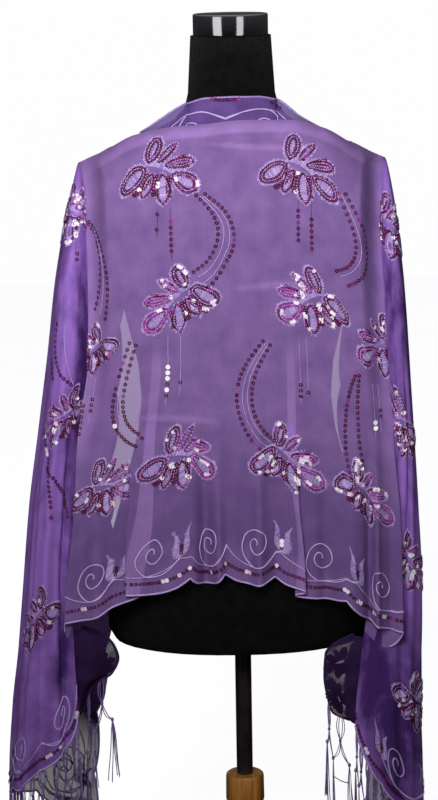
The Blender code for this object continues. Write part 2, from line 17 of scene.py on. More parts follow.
import bmesh
import bpy
import numpy as np
from mathutils import Matrix, Vector
from mathutils.bvhtree import BVHTree


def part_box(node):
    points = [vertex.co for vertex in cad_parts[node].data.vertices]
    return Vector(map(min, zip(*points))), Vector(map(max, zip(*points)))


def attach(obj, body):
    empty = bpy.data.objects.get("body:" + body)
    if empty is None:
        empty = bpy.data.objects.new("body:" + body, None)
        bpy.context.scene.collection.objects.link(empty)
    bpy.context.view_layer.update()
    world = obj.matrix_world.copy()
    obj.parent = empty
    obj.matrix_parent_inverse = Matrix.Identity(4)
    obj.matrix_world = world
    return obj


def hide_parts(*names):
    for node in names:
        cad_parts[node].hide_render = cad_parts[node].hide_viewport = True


Array = np.ndarray
Curve = Callable[[Array], Array]
Colour = tuple[float, float, float, float]
Laying = Callable[[Array], Array]
Material = bpy.types.Material
Node = bpy.types.Node
Piece = bpy.types.Object
Socket = bpy.types.NodeSocket
Tree = bpy.types.NodeTree
Adder = Callable[..., Socket]

log = logging.getLogger("shawl")

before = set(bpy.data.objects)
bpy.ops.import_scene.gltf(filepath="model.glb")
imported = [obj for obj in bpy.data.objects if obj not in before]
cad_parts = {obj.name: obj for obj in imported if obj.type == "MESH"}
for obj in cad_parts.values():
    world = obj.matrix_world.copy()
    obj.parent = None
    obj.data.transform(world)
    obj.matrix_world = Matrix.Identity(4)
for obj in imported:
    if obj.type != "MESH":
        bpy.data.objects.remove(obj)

# The form's flat bottom, from which every height of the cloth is measured
FORM_BOTTOM = 0.595
SHOULDER_ROUND = 0.085
FOLD_DEPTH = 0.016
PANEL_BACK = -0.112
SIDE_TURN = 0.080
SIDE_STAND = 0.010
CLOTH_CLEARANCE = 0.0012
# Faces of the cloth with less area than this, in square metres, are left out
SLIVER = 1e-10


class Slot(Enum):
    """The record's material slots."""

    MESH = "shawl_mesh"
    FRINGE = "fringe_yarn"
    FORM = "form_cover"
    CAP = "cap_chrome"
    POLE = "pole_enamel"
    WOOD = "stand_wood"


class Edge(Enum):
    """An edge of a stretch of cloth: whether it runs across, and its number among such lines."""

    TOP = (True, 0)
    HEM = (True, -1)
    FINISH = (False, -1)


def table(kind: Callable, *rows: tuple) -> tuple:
    """Gives each row of a table its columns' names."""
    return tuple(kind(*row) for row in rows)


class Wrap(NamedTuple):
    """One hanging end at a height: its inner fold, outermost side, chest edge, two faces and swell."""

    up: float
    fold: float
    outer: float
    edge: float
    back: float
    chest: float
    swell: float


LEFT_WRAPS = table(
    Wrap,
    (0.64, -0.188, -0.206, -0.138, -0.105, 0.09, 0.013),
    (0.56, -0.188, -0.2215, -0.14, -0.106, 0.09, 0.013),
    (0.49, -0.1875, -0.233, -0.146, -0.116, 0.113, 0.015),
    (0.4, -0.19, -0.2428, -0.1524, -0.121, 0.12, 0.015),
    (0.3, -0.205, -0.256, -0.159, -0.124, 0.118, 0.015),
    (0.2, -0.212, -0.271, -0.168, -0.126, 0.119, 0.011),
    (0.08, -0.219, -0.2838, -0.172, -0.127, 0.122, 0.006),
    (0.0, -0.218, -0.2925, -0.177, -0.126, 0.122, 0.009),
    (-0.08, -0.2145, -0.3035, -0.185, -0.123, 0.12, 0.013),
    (-0.18, -0.215, -0.3115, -0.2, -0.119, 0.118, 0.013),
    (-0.32, -0.2165, -0.314, -0.206, -0.116, 0.116, 0.013),
)
RIGHT_WRAPS = table(
    Wrap,
    (0.64, 0.186, 0.2035, 0.133, -0.105, 0.09, 0.013), (0.56, 0.186, 0.2125, 0.135, -0.106, 0.09, 0.013),
    (0.49, 0.189, 0.2195, 0.141, -0.116, 0.113, 0.015), (0.4, 0.193, 0.2254, 0.1455, -0.121, 0.12, 0.015),
    (0.3, 0.1995, 0.2305, 0.139, -0.124, 0.118, 0.006), (0.2, 0.19, 0.235, 0.144, -0.125, 0.119, 0.0),
    (0.08, 0.168, 0.2396, 0.156, -0.124, 0.122, 0.0), (0.0, 0.158, 0.2397, 0.162, -0.123, 0.122, 0.003),
    (-0.08, 0.15, 0.24, 0.168, -0.121, 0.12, 0.009), (-0.18, 0.148, 0.243, 0.174, -0.118, 0.118, 0.013),
    (-0.32, 0.15, 0.246, 0.178, -0.116, 0.116, 0.013),
)


class Station(NamedTuple):
    """A station round a wrap: share of the way across, depth and share of the swell."""

    share: float
    deep: float
    swell: float = 0.0


# From the inner fold to the outer side
BACK_STATIONS = table(
    Station, (0.0, FOLD_DEPTH), (0.28, FOLD_DEPTH, 1.0), (0.78, FOLD_DEPTH, 0.4), (0.96, 0.055), (1.0, 0.115)
)
# From the outer side to the chest edge
CHEST_STATIONS = table(Station, (0.02, 0.06), (0.22, 0.008), (0.62, 0.0), (1.0, 0.006))


class Peg(NamedTuple):
    """Where a share of a wrap hangs from on the shoulder."""

    share: float
    x: float
    y: float
    up: float


LEFT_PEGS = table(
    Peg,
    (0.0, -0.1975, -0.026, 0.646), (0.15, -0.199, -0.0225, 0.645), (0.3, -0.1995, -0.0195, 0.6445),
    (0.5, -0.1985, -0.017, 0.645), (0.7, -0.19, -0.028, 0.648), (0.86, -0.162, -0.046, 0.662),
    (1.0, -0.124, -0.071, 0.682),
)
RIGHT_PEGS = table(
    Peg,
    (0.0, 0.195, -0.026, 0.646), (0.15, 0.1965, -0.0225, 0.645), (0.3, 0.197, -0.0195, 0.6445),
    (0.5, 0.196, -0.017, 0.645), (0.7, 0.188, -0.028, 0.648), (0.86, 0.158, -0.048, 0.662),
    (1.0, 0.116, -0.076, 0.687),
)


# Height of a hanging end's short edge at shares of the way round it
LEFT_RIM = (
    (0.0, -0.075), (0.1, -0.118), (0.22, -0.158), (0.36, -0.19), (0.6, -0.23), (0.8, -0.272), (1.0, -0.308),
)
RIGHT_RIM = (
    (0.0, -0.095), (0.08, -0.137), (0.2, -0.202), (0.36, -0.244), (0.6, -0.268), (0.8, -0.286),
    (1.0, -0.312),
)


# Heights of a turned-in corner, and where its free edge is there
LEFT_CORNER = (
    (0.042, -0.206), (0.03, -0.18), (0.013, -0.1656), (-0.0035, -0.1607), (-0.025, -0.1705),
    (-0.036, -0.1893), (-0.0495, -0.2002), (-0.07, -0.206),
)
RIGHT_CORNER = (
    (0.025, 0.148), (0.012, 0.123), (-0.003, 0.1108), (-0.035, 0.109), (-0.062, 0.113), (-0.082, 0.119),
    (-0.09, 0.132), (-0.094, 0.142),
)
CORNER_Y = -0.088


class Ridge(NamedTuple):
    """The fold behind the neck that the back panel hangs from."""

    x: float
    y: float
    up: float


RIDGE = table(
    Ridge,
    (-0.1975, -0.026, 0.646), (-0.164, -0.048, 0.6625), (-0.125, -0.074, 0.684), (-0.08, -0.09, 0.6945),
    (-0.032, -0.095, 0.6985), (0.016, -0.095, 0.7025), (0.072, -0.091, 0.7015), (0.115, -0.079, 0.69),
    (0.158, -0.051, 0.664), (0.195, -0.026, 0.646),
)


class Side(NamedTuple):
    """How far the back panel laps over the ends' inner folds, sideways and behind, and how it bulges."""

    up: float
    left_over: float
    right_over: float
    behind: float
    bulge: float


PANEL_SIDES = table(
    Side,
    (0.646, 0.0, 0.0, 0.0, 0.0), (0.56, 0.0, 0.0, 0.0, 0.008), (0.4, 0.0, 0.0, 0.0, 0.004),
    (0.3, 0.0005, 0.0012, 0.005, 0.004), (0.2, 0.0015, 0.0185, 0.01, 0.006),
    (0.08, 0.009, 0.044, 0.0125, 0.008), (0.04, 0.0115, 0.05, 0.013, 0.008),
)


class Cusp(NamedTuple):
    """A cusp of the back panel's scalloped hem, and how deep the lobe is that follows it."""

    x: float
    up: float
    lobe: float


HEM_CUSPS = table(
    Cusp,
    (-0.2305, 0.056, 0.01), (-0.145, 0.0975, 0.011), (-0.067, 0.1165, 0.0145), (-0.0215, 0.1215, 0.012),
    (0.0445, 0.1145, 0.013), (0.138, 0.083, 0.011), (0.2132, 0.035, 0.0),
)


class Pleat(NamedTuple):
    """A soft ridge or trough: where it meets the hem, how far out, half its width, where it fades."""

    x: float
    out: float
    half_width: float
    fades_at: float


PLEATS = table(
    Pleat,
    (-0.185, 0.013, 0.014, 0.33), (-0.08, 0.009, 0.018, 0.3), (-0.044, -0.022, 0.009, 0.36),
    (-0.026, 0.013, 0.007, 0.32), (0.008, -0.006, 0.01, 0.28), (0.026, 0.014, 0.009, 0.42),
    (0.05, -0.01, 0.01, 0.3), (0.112, -0.014, 0.013, 0.36), (0.145, 0.012, 0.014, 0.33),
    (0.168, -0.012, 0.006, 0.36), (0.178, 0.01, 0.005, 0.34), (0.196, -0.006, 0.007, 0.3),
)


class Press(NamedTuple):
    """A faint crease pressed across the panel: its two ends, how it bows up, its height and half width."""

    x: float
    up: float
    end_x: float
    end_up: float
    bow: float
    out: float
    half_width: float


PRESSES = table(
    Press,
    (-0.12, 0.672, 0.135, 0.676, 0.008, -0.0022, 0.006), (-0.09, 0.681, 0.12, 0.669, -0.004, 0.0016, 0.003),
    (-0.01, 0.492, 0.11, 0.496, 0.002, 0.0012, 0.004), (-0.15, 0.324, -0.03, 0.32, 0.003, 0.001, 0.004),
    (0.04, 0.23, 0.17, 0.236, 0.002, 0.001, 0.004),
)


class Overlap(NamedTuple):
    """A pleat that laps over itself.

    Its middle at the hem, half the cloth in it, which way it laps and how far its band reaches.
    """

    x: float
    half_zone: float
    lap: float
    front: float
    fades_at: float
    band: float


OVERLAPS = table(
    Overlap,
    (-0.139, 0.034, 0.86, 1.0, 0.33, 0.52), (0.078, 0.026, 0.86, -1.0, 0.29, 0.56),
)
OVERLAP_DEPTH = 0.0065
LOBE_ROUND = 0.8
# The share of the panel under the ridge that lies in two layers and is painted paler, as painted light on its
# upturned top
RIDGE_BAND = 0.026
# The lobes of an end's short edge, and the share of one that the right end's edge starts with
RIM_LOBES = 5.3
RIGHT_FIRST = 0.2


class CollarRow(NamedTuple):
    """The top edge of the upright border behind the neck, and how far it leans onto the neck."""

    x: float
    up: float
    lean: float


COLLAR_TOP = table(
    CollarRow,
    (-0.118, 0.686, 0.0), (-0.095, 0.7, 0.25), (-0.0623, 0.7181, 0.6), (-0.0316, 0.7277, 1.0),
    (0.0, 0.7296, 1.0), (0.0316, 0.7287, 1.0), (0.0562, 0.7237, 0.7), (0.09, 0.701, 0.25),
    (0.11, 0.69, 0.0),
)
NECK_RADIUS = 0.0575
COLLAR_STAND = 0.0180
TROUGH_DROP = 0.0150
TROUGH_SHARE = 0.45
TROUGH_RISE = 0.0200


class Crease(NamedTuple):
    """A soft fold down a hanging end: its share of the way round, height, half width and reach in v."""

    share: float
    out: float
    half_width: float
    starts: float
    ends: float


LEFT_CREASES = table(
    Crease,
    (0.1, -0.008, 0.02, 0.3, 1.2), (0.19, 0.007, 0.025, 0.1, 1.2), (0.3, -0.007, 0.02, 0.35, 1.3),
    (0.42, 0.005, 0.03, 0.05, 1.2), (0.55, -0.006, 0.03, 0.25, 1.3), (0.68, 0.006, 0.03, 0.15, 1.2),
    (0.82, -0.007, 0.03, 0.2, 1.3), (0.92, 0.005, 0.025, 0.3, 1.3),
)
RIGHT_CREASES = table(
    Crease,
    (0.12, 0.003, 0.022, 0.45, 1.2), (0.22, -0.008, 0.022, 0.2, 1.3), (0.33, 0.006, 0.025, 0.3, 1.3),
    (0.47, -0.005, 0.03, 0.1, 1.2), (0.6, 0.006, 0.032, 0.25, 1.3), (0.74, -0.006, 0.03, 0.15, 1.2),
    (0.87, 0.006, 0.028, 0.25, 1.3),
)


class ShadeSpot(NamedTuple):
    """A spot of painted shade in a hanging end: its share of the way round, its share down, half sizes and
    depth, which says how dark it is painted.
    """

    share: float
    down: float
    half_width: float
    half_height: float
    depth: float


# Spots of painted shade down each end
LEFT_SHADE_SPOTS = table(
    ShadeSpot,
    (0.02, 0.72, 0.1, 0.14, 0.55), (0.06, 0.875, 0.13, 0.04, 0.65), (0.05, 0.46, 0.09, 0.13, 0.8),
    (0.2, 0.28, 0.16, 0.1, 0.3),
)
RIGHT_SHADE_SPOTS = table(
    ShadeSpot,
    (0.22, 0.36, 0.26, 0.14, 0.6), (0.05, 0.72, 0.12, 0.12, 0.4), (0.16, 0.885, 0.42, 0.1, 0.72),
)


def curve(pairs: Iterable[tuple[float, float]]) -> Curve:
    """Draws the smooth curve through pairs of values, with no overshoot.

    Args:
        pairs: What it is read at, and what it gives there.

    Returns:
        The curve, as a function of an array.
    """
    x, y = np.array(sorted(pairs)).T
    step = np.diff(x)
    slope = np.diff(y) / step
    before, after = slope[:-1], slope[1:]
    same_way = before * after > 0
    mean = 2 * before * after / np.where(same_way, before + after, 1.0)
    tangent = np.concatenate((slope[:1], np.where(same_way, mean, 0.0), slope[-1:]))

    def at(where: Array) -> Array:
        """Reads the curve.

        Args:
            where: What it is read at.

        Returns:
            What it gives.
        """
        where = np.clip(where, x[0], x[-1])
        i = np.clip(np.searchsorted(x, where) - 1, 0, len(step) - 1)
        t = (where - x[i]) / step[i]
        start = (1 + 2 * t) * (1 - t) ** 2 * y[i] + t * (1 - t) ** 2 * step[i] * tangent[i]
        return start + t * t * (3 - 2 * t) * y[i + 1] + t * t * (t - 1) * step[i] * tangent[i + 1]

    return at


def curves(rows: Sequence[NamedTuple], key: str) -> dict[str, Curve]:
    """Returns a curve through each other column of a table against one of them."""
    names = [name for name in rows[0]._fields if name != key]
    return {name: curve((getattr(row, key), getattr(row, name)) for row in rows) for name in names}


def spread(rows: Sequence[NamedTuple], share: Array) -> Array:
    """Returns X at a share of the way from a table's first row to its last."""
    return rows[0].x + share * (rows[-1].x - rows[0].x)


def ease(x: Array) -> Array:
    """Returns a smooth step from 0 to 1."""
    x = np.clip(x, 0.0, 1.0)
    return x * x * (3 - 2 * x)


def hump(x: Array, middle: Array, half_width: float) -> Array:
    """Returns a soft hump, which is 1 at its middle."""
    return np.exp(-(((x - middle) / half_width) ** 2))


def turned_over(drop: Array) -> Array:
    """Returns how far out cloth has come where it rounds over an edge, at a share of the way down."""
    return np.sqrt(1 - (1 - drop) ** 2)


def along(points: Array, share: Array) -> Array:
    """Reads a smooth curve through a few points, a curve of its own for each share.

    Args:
        points: The points, as points by curves by axes.
        share: How far along each curve, from 0 to 1.

    Returns:
        One point for each curve.
    """
    count = len(points) - 1
    at = np.clip(share, 0.0, 1.0) * count
    i = np.minimum(at.astype(int), count - 1)
    t = (at - i)[:, None]
    each = np.arange(len(share))
    before, start, end, after = (points[np.clip(i + k, 0, count), each] for k in (-1, 0, 1, 2))
    bend = (2 * before - 5 * start + 4 * end - after) * t * t
    return 0.5 * (2 * start + (end - before) * t + bend + (3 * start - before - 3 * end + after) * t**3)


def unit(vectors: Array) -> Array:
    """Returns vectors of length 1 along the given ones."""
    return vectors / np.maximum(np.linalg.norm(vectors, axis=-1, keepdims=True), 1e-12)


def lengths(lines: Array) -> Array:
    """Returns how far along its line each point is."""
    steps = np.linalg.norm(np.diff(lines, axis=-2), axis=-1)
    return np.concatenate((np.zeros((*steps.shape[:-1], 1)), np.cumsum(steps, axis=-1)), axis=-1)


@dataclass(frozen=True)
class Torso:
    """The dress form as the cloth meets it."""

    axis: Array
    tree: BVHTree
    # Cloth further from the form than this is never inside it
    reach: float = 0.2

    @classmethod
    def read(cls, node: Piece, cap: str) -> "Torso":
        """Reads the form from its CAD node, and its upright axis from the round cap on its neck.

        Args:
            node: The form's CAD node.
            cap: The name of the cap's.

        Returns:
            The form.
        """
        low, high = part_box(cap)
        axis = np.array((low + high) / 2) * (1.0, 1.0, 0.0)
        faces = [tuple(face.vertices) for face in node.data.polygons]
        return cls(axis, BVHTree.FromPolygons([v.co for v in node.data.vertices], faces))

    def outside(self, points: Array, clearance: float) -> Array:
        """Moves the points that lie too near to the form out to a clearance.

        Args:
            points: The cloth's points.
            clearance: The clearance in metres.

        Returns:
            The moved points.
        """
        moved = points.copy()
        for i, point in enumerate(points):
            near, normal, _, far = self.tree.find_nearest(Vector(point))
            if far < self.reach and (Vector(point) - near).dot(normal) < clearance:
                moved[i] = near + normal * clearance
        return moved


class Share(NamedTuple):
    """A place on the cloth, as its shares across and down."""

    u: float
    v: float


@dataclass(frozen=True)
class View:
    """The photograph's camera: its place, lens and sensor in millimetres, turns in degrees, and frame."""

    place: tuple[float, float, float] = (-0.0265, -3.226, 1.563)
    lens: float = 109.0
    sensor: float = 36.0
    pitch: float = 11.55
    roll: float = 1.0
    wide: int = 438
    tall: int = 800

    def axes(self) -> tuple[Vector, Vector, Vector]:
        """Works out where the camera looks.

        Returns:
            The directions to its right, up and ahead.
        """
        pitch, roll = math.radians(self.pitch), math.radians(self.roll)
        ahead = Vector((0, math.cos(pitch), -math.sin(pitch)))
        above = Vector((0, math.sin(pitch), math.cos(pitch)))
        right = math.cos(roll) * Vector((1, 0, 0)) - math.sin(roll) * above
        return right, right.cross(ahead), ahead

    def through(self, x: float, y: float) -> Vector:
        """Looks through a pixel.

        Args:
            x: Pixels from the left.
            y: Pixels from the top.

        Returns:
            The direction.
        """
        right, up, ahead = self.axes()
        scale = self.sensor / (self.lens * self.tall)
        aside = (x - self.wide / 2) * scale * right
        return (ahead + aside + (self.tall / 2 - y) * scale * up).normalized()


VIEW = View()


class Chart:
    """A draped stretch of cloth as a fine grid of points, and the ways to find a place on it."""

    def __init__(self, points: Array, turned: bool, doubled: Array) -> None:
        """Measures the grid.

        Args:
            points: The grid, as rows by columns by axes.
            turned: Whether its right side is the other one.
            doubled: How far the cloth is folded onto itself there, with painted light and shade added in.
        """
        self.points, self.turned, self.doubled = points, turned, doubled
        self.rows, self.columns = points.shape[:2]
        upright = np.cross(np.gradient(points, axis=1), np.gradient(points, axis=0))
        self.normals = unit(upright) * (-1.0 if turned else 1.0)
        self.over = lengths(points)
        self.down = lengths(points.transpose(1, 0, 2)).T
        self.u_shares = np.linspace(0, 1, self.columns)
        self.v_shares = np.linspace(0, 1, self.rows)
        count = self.columns
        corners = np.arange(self.rows * count).reshape(self.rows, count)[:-1, :-1].reshape(-1, 1)
        faces = corners + (0, 1, count + 1, count)
        self.tree = BVHTree.FromPolygons(points.reshape(-1, 3).tolist(), faces.tolist())

    def _mix(self, grid: Array, places: Array) -> Array:
        """Reads a grid between its points.

        Args:
            grid: The grid.
            places: Places on the cloth, as shares.

        Returns:
            What lies there.
        """
        size = np.array([self.columns, self.rows])
        at = np.clip(places, 0.0, 1.0) * (size - 1)
        i, j = np.minimum(at.astype(int), size - 2).T
        s, t = at[:, :1] - i[:, None], at[:, 1:] - j[:, None]
        upper = grid[j, i] * (1 - s) + grid[j, i + 1] * s
        lower = grid[j + 1, i] * (1 - s) + grid[j + 1, i + 1] * s
        return upper * (1 - t) + lower * t

    def at(self, places: Array, lift: float = 0.0) -> tuple[Array, Array]:
        """Finds points on the cloth.

        Args:
            places: Their u and v.
            lift: How far they stand off its right side.

        Returns:
            The points and the cloth's normals there.
        """
        normals = unit(self._mix(self.normals, places))
        return self._mix(self.points, places) + lift * normals, normals

    def seen(self, x: float, y: float) -> Share:
        """Finds the cloth that shows at a pixel of the photograph's frame.

        Args:
            x: Pixels from the left.
            y: Pixels from the top.

        Returns:
            The place on the cloth.
        """
        met, _, index, _ = self.tree.ray_cast(Vector(VIEW.place), VIEW.through(x, y))
        if met is None:
            raise ValueError(f"the cloth doesn't show at {x}, {y}")
        j, i = divmod(index, self.columns - 1)
        corner = self.points[j, i]
        inside = np.array(met) - corner
        sides = (self.points[j, i + 1] - corner, self.points[j + 1, i] - corner)
        s, t = (float(np.clip(inside @ side / (side @ side), 0, 1)) for side in sides)
        return Share((i + s) / (self.columns - 1), (j + t) / (self.rows - 1))

    def between(self, start: Share, end: Share) -> Array:
        """Measures how far the cloth reaches from one place to another.

        Args:
            start: The one.
            end: The other.

        Returns:
            How far to the right and up.
        """
        right = np.interp([start.u, end.u], self.u_shares, self._row(start.v))
        down = np.interp([start.v, end.v], self.v_shares, self._column(start.u))
        return np.array([right[1] - right[0], down[0] - down[1]])

    def _row(self, v: float) -> Array:
        """Returns the distances along the row at a share."""
        return self.over[int(round(np.clip(v, 0, 1) * (self.rows - 1)))]

    def _column(self, u: float) -> Array:
        """Returns the distances down the column at a share."""
        return self.down[:, int(round(np.clip(u, 0, 1) * (self.columns - 1)))]

    def around(self, centre: Share, flat: Array) -> Array:
        """Lays a flat drawing on the cloth.

        Args:
            centre: Where its middle goes.
            flat: Its points, in metres to the right and up.

        Returns:
            Their u and v, which are nan off the cloth.
        """
        row, line = self._row(centre.v), self._column(centre.u)
        here = np.interp(centre.u, self.u_shares, row) + flat[:, 0]
        level = np.interp(centre.v, self.v_shares, line) - flat[:, 1]
        places = np.stack(
            (np.interp(here, row, self.u_shares), np.interp(level, line, self.v_shares)), axis=1
        )
        places[(here < 0) | (here > row[-1]) | (level < 0) | (level > line[-1])] = np.nan
        return places

    def edge(self, edge: Edge, grid: Array) -> Array:
        """Returns a grid's values along an edge."""
        across, number = edge.value
        return grid[number] if across else grid[:, number]

    def edge_length(self, edge: Edge, share: float) -> float:
        """Returns an edge's length up to a share of its columns or rows."""
        line = self.edge(edge, self.over if edge.value[0] else self.down)
        return float(np.interp(share, np.linspace(0, 1, len(line)), line))

    def from_edge(self, edge: Edge, distance: Array, inward: Array) -> Array:
        """Finds places that lie a distance along an edge and a distance in from it.

        Args:
            edge: The edge.
            distance: How far along the edge, in metres.
            inward: How far in from it, in metres.

        Returns:
            Their u and v.
        """
        across, number = edge.value
        line = self.edge(edge, self.over if across else self.down)
        shares, others = (self.u_shares, self.v_shares)[:: 1 if across else -1]
        places = []
        for share, deep in zip(np.interp(distance, line, shares), inward):
            crossing = self._column(share) if across else self._row(share)
            reach = crossing[-1] - deep if number else deep
            places.append((share, np.interp(reach, crossing, others)))
        return np.array(places).reshape(-1, 2)[:, :: 1 if across else -1]

    def to_object(self, name: str, finish: Material) -> Piece:
        """Makes the cloth's mesh, with a UV map in metres of cloth.

        Args:
            name: The piece's name.
            finish: Its material.

        Returns:
            The piece.
        """
        bm = bmesh.new()
        columns, rows = self.columns - 1, self.rows - 1
        bmesh.ops.create_grid(bm, x_segments=columns, y_segments=rows, size=0.5, calc_uvs=False)
        flat = np.array([v.co[:] for v in bm.verts])
        i = np.rint((flat[:, 0] + 0.5) * columns).astype(int)
        j = np.rint((0.5 - flat[:, 1]) * rows).astype(int)
        doubled = bm.verts.layers.float.new("doubled")
        for vertex, place, value in zip(bm.verts, self.points[j, i], self.doubled[j, i]):
            vertex.co = place
            vertex[doubled] = value
        maps = bm.loops.layers.uv.new("cloth")
        places = np.stack((i * float(self.over[:, -1].mean()) / columns, -self.down[j, i]), axis=1)
        for face in bm.faces:
            for loop in face.loops:
                loop[maps].uv = places[loop.vert.index]
        if not self.turned:
            bmesh.ops.reverse_faces(bm, faces=bm.faces)
        slivers = [face for face in bm.faces if face.calc_area() < SLIVER]
        bmesh.ops.delete(bm, geom=slivers, context="FACES")
        return to_piece(bm, name, finish)


def link(name: str, mesh: bpy.types.Mesh, finish: Material, sharp: float | None = None) -> Piece:
    """Puts a mesh in the scene as a smooth piece at the origin.

    Args:
        name: The piece's name.
        mesh: Its mesh.
        finish: Its material.
        sharp: The angle in degrees from which its edges stay sharp, if any do.

    Returns:
        The piece.
    """
    mesh.shade_smooth()
    if sharp:
        mesh.set_sharp_from_angle(angle=math.radians(sharp))
    mesh.materials.append(finish)
    piece = bpy.data.objects.new(name, mesh)
    bpy.context.scene.collection.objects.link(piece)
    return piece


def to_piece(bm: bmesh.types.BMesh, name: str, finish: Material, sharp: float | None = None) -> Piece:
    """Turns a bmesh into a piece, as link does with a mesh.

    Args:
        bm: The bmesh, which is freed.
        name: The piece's name.
        finish: Its material.
        sharp: The angle in degrees from which its edges stay sharp, if any do.

    Returns:
        The piece.
    """
    mesh = bpy.data.meshes.new(name)
    bm.to_mesh(mesh)
    bm.free()
    return link(name, mesh, finish, sharp)


@dataclass
class Drape:
    """One stretch of the shawl: a surface over two shares, and how finely it is drawn."""

    torso: Torso
    columns: int = 0
    rows: int = 0
    turned: bool = False
    clearance: float = CLOTH_CLEARANCE

    def surface(self, u: Array, v: Array) -> Array:
        """Returns the cloth's points, measured from the form's axis."""
        raise NotImplementedError

    def doubled(self, u: Array, v: Array) -> Array:
        """Returns how far the cloth is folded onto itself, from 0 to 1, where the finish paints it paler;
        some stretches add painted light and shade.
        """
        return np.zeros(len(u))

    def chart(self) -> Chart:
        """Draws the surface as a grid that stays outside the form.

        Returns:
            The grid.
        """
        grid = np.meshgrid(np.linspace(0, 1, self.columns), np.linspace(0, 1, self.rows))
        u, v = (shares.ravel() for shares in grid)
        points = self.torso.outside(self.surface(u, v) + self.torso.axis, self.clearance)
        size = self.rows, self.columns
        return Chart(points.reshape(*size, 3), self.turned, self.doubled(u, v).reshape(size))


@dataclass
class HangingEnd(Drape):
    """An end of the shawl: it drops from the shoulder into a ring that is open towards the form."""

    wraps: tuple[Wrap, ...] = LEFT_WRAPS
    pegs: tuple[Peg, ...] = LEFT_PEGS
    rim: tuple[tuple, ...] = LEFT_RIM
    creases: tuple[Crease, ...] = LEFT_CREASES
    hollows: tuple[ShadeSpot, ...] = LEFT_SHADE_SPOTS
    # The share of a lobe that the short edge starts with
    first: float = 0.0
    scallop: float = 0.009
    # The lobes down the chest edge: their length, and the share of the way round that they bite off
    lobe: float = 0.092
    bite: float = 0.030
    columns: int = 170
    rows: int = 220

    def __post_init__(self) -> None:
        """Draws the tables' curves."""
        self.wrap, self.peg = curves(self.wraps, "up"), curves(self.pegs, "share")
        self.rim_up = curve(self.rim)

    def ring(self, share: Array, up: Array) -> Array:
        """Finds X and Y on the ring, from the inner fold to the chest edge.

        Args:
            share: The share of the way round.
            up: The height.

        Returns:
            X and Y.
        """
        fold, outer, edge, back, chest, swell = (read(up) for read in self.wrap.values())
        stations = [
            (fold + row.share * (outer - fold), back + row.deep - row.swell * swell)
            for row in BACK_STATIONS
        ]
        stations += [(outer + row.share * (edge - outer), chest - row.deep) for row in CHEST_STATIONS]
        return along(np.array(stations).transpose(0, 2, 1), share)

    def place(self, share: Array, up: Array) -> Array:
        """Rounds the cloth over from the shoulder, then drops it straight down the rings.

        Args:
            share: The share of the way round.
            up: The height.

        Returns:
            X and Y.
        """
        drop = np.clip((self.peg["up"](share) - up) / SHOULDER_ROUND, 0.0, 1.0)
        start = np.stack((self.peg["x"](share), self.peg["y"](share)), axis=1)
        return start + turned_over(drop)[:, None] * (self.ring(share, up) - start)

    def doubled(self, u: Array, v: Array) -> Array:
        """Tells where the end hangs in close folds, and where painted shade darkens it.

        Args:
            u: Shares across the cloth.
            v: Shares down the cloth.

        Returns:
            1 in the folds, less in the spots of painted shade and low down on its chest side.
        """
        folded = 1 - ease((u - 0.44) / 0.20) * ease((v - 0.80) / 0.14)
        # Painted shade in the listed spots
        for shade_spot in self.hollows:
            shaded = hump(u, shade_spot.share, shade_spot.half_width) * hump(v, shade_spot.down, shade_spot.half_height)
            folded = folded * (1 - shade_spot.depth * shaded)
        return folded

    def surface(self, u: Array, v: Array) -> Array:
        """Draws the end, with its creases and both its scalloped edges.

        Args:
            u: Shares across the cloth.
            v: Shares down the cloth.

        Returns:
            Its points.
        """
        peg_up = self.peg["up"](u)
        lobes = np.abs(np.sin(math.pi * (u * RIM_LOBES + self.first))) ** LOBE_ROUND
        # Closer rows where the cloth turns over the shoulder
        v = v**1.5
        up = peg_up + v * (self.rim_up(u) - self.scallop * (lobes - 0.5) - peg_up)
        bite = np.abs(np.sin(math.pi * (peg_up - up) / self.lobe)) ** LOBE_ROUND
        share = u * (1 - self.bite * (1 - bite) * ease((v - 0.03) / 0.1))
        flat, ahead, behind = (self.place(np.clip(share + k, 0, 1), up) for k in (0, 0.01, -0.01))
        run = unit(ahead - behind)
        outward = np.stack((run[:, 1], -run[:, 0]), axis=1) * np.sign(self.pegs[0].x)
        out = np.zeros(len(u))
        for crease in self.creases:
            reach = ease((v - crease.starts) / 0.4) * ease((crease.ends - v) / 0.2)
            out += crease.out * reach * hump(u, crease.share, crease.half_width)
        return np.column_stack((flat + outward * out[:, None], FORM_BOTTOM + up))


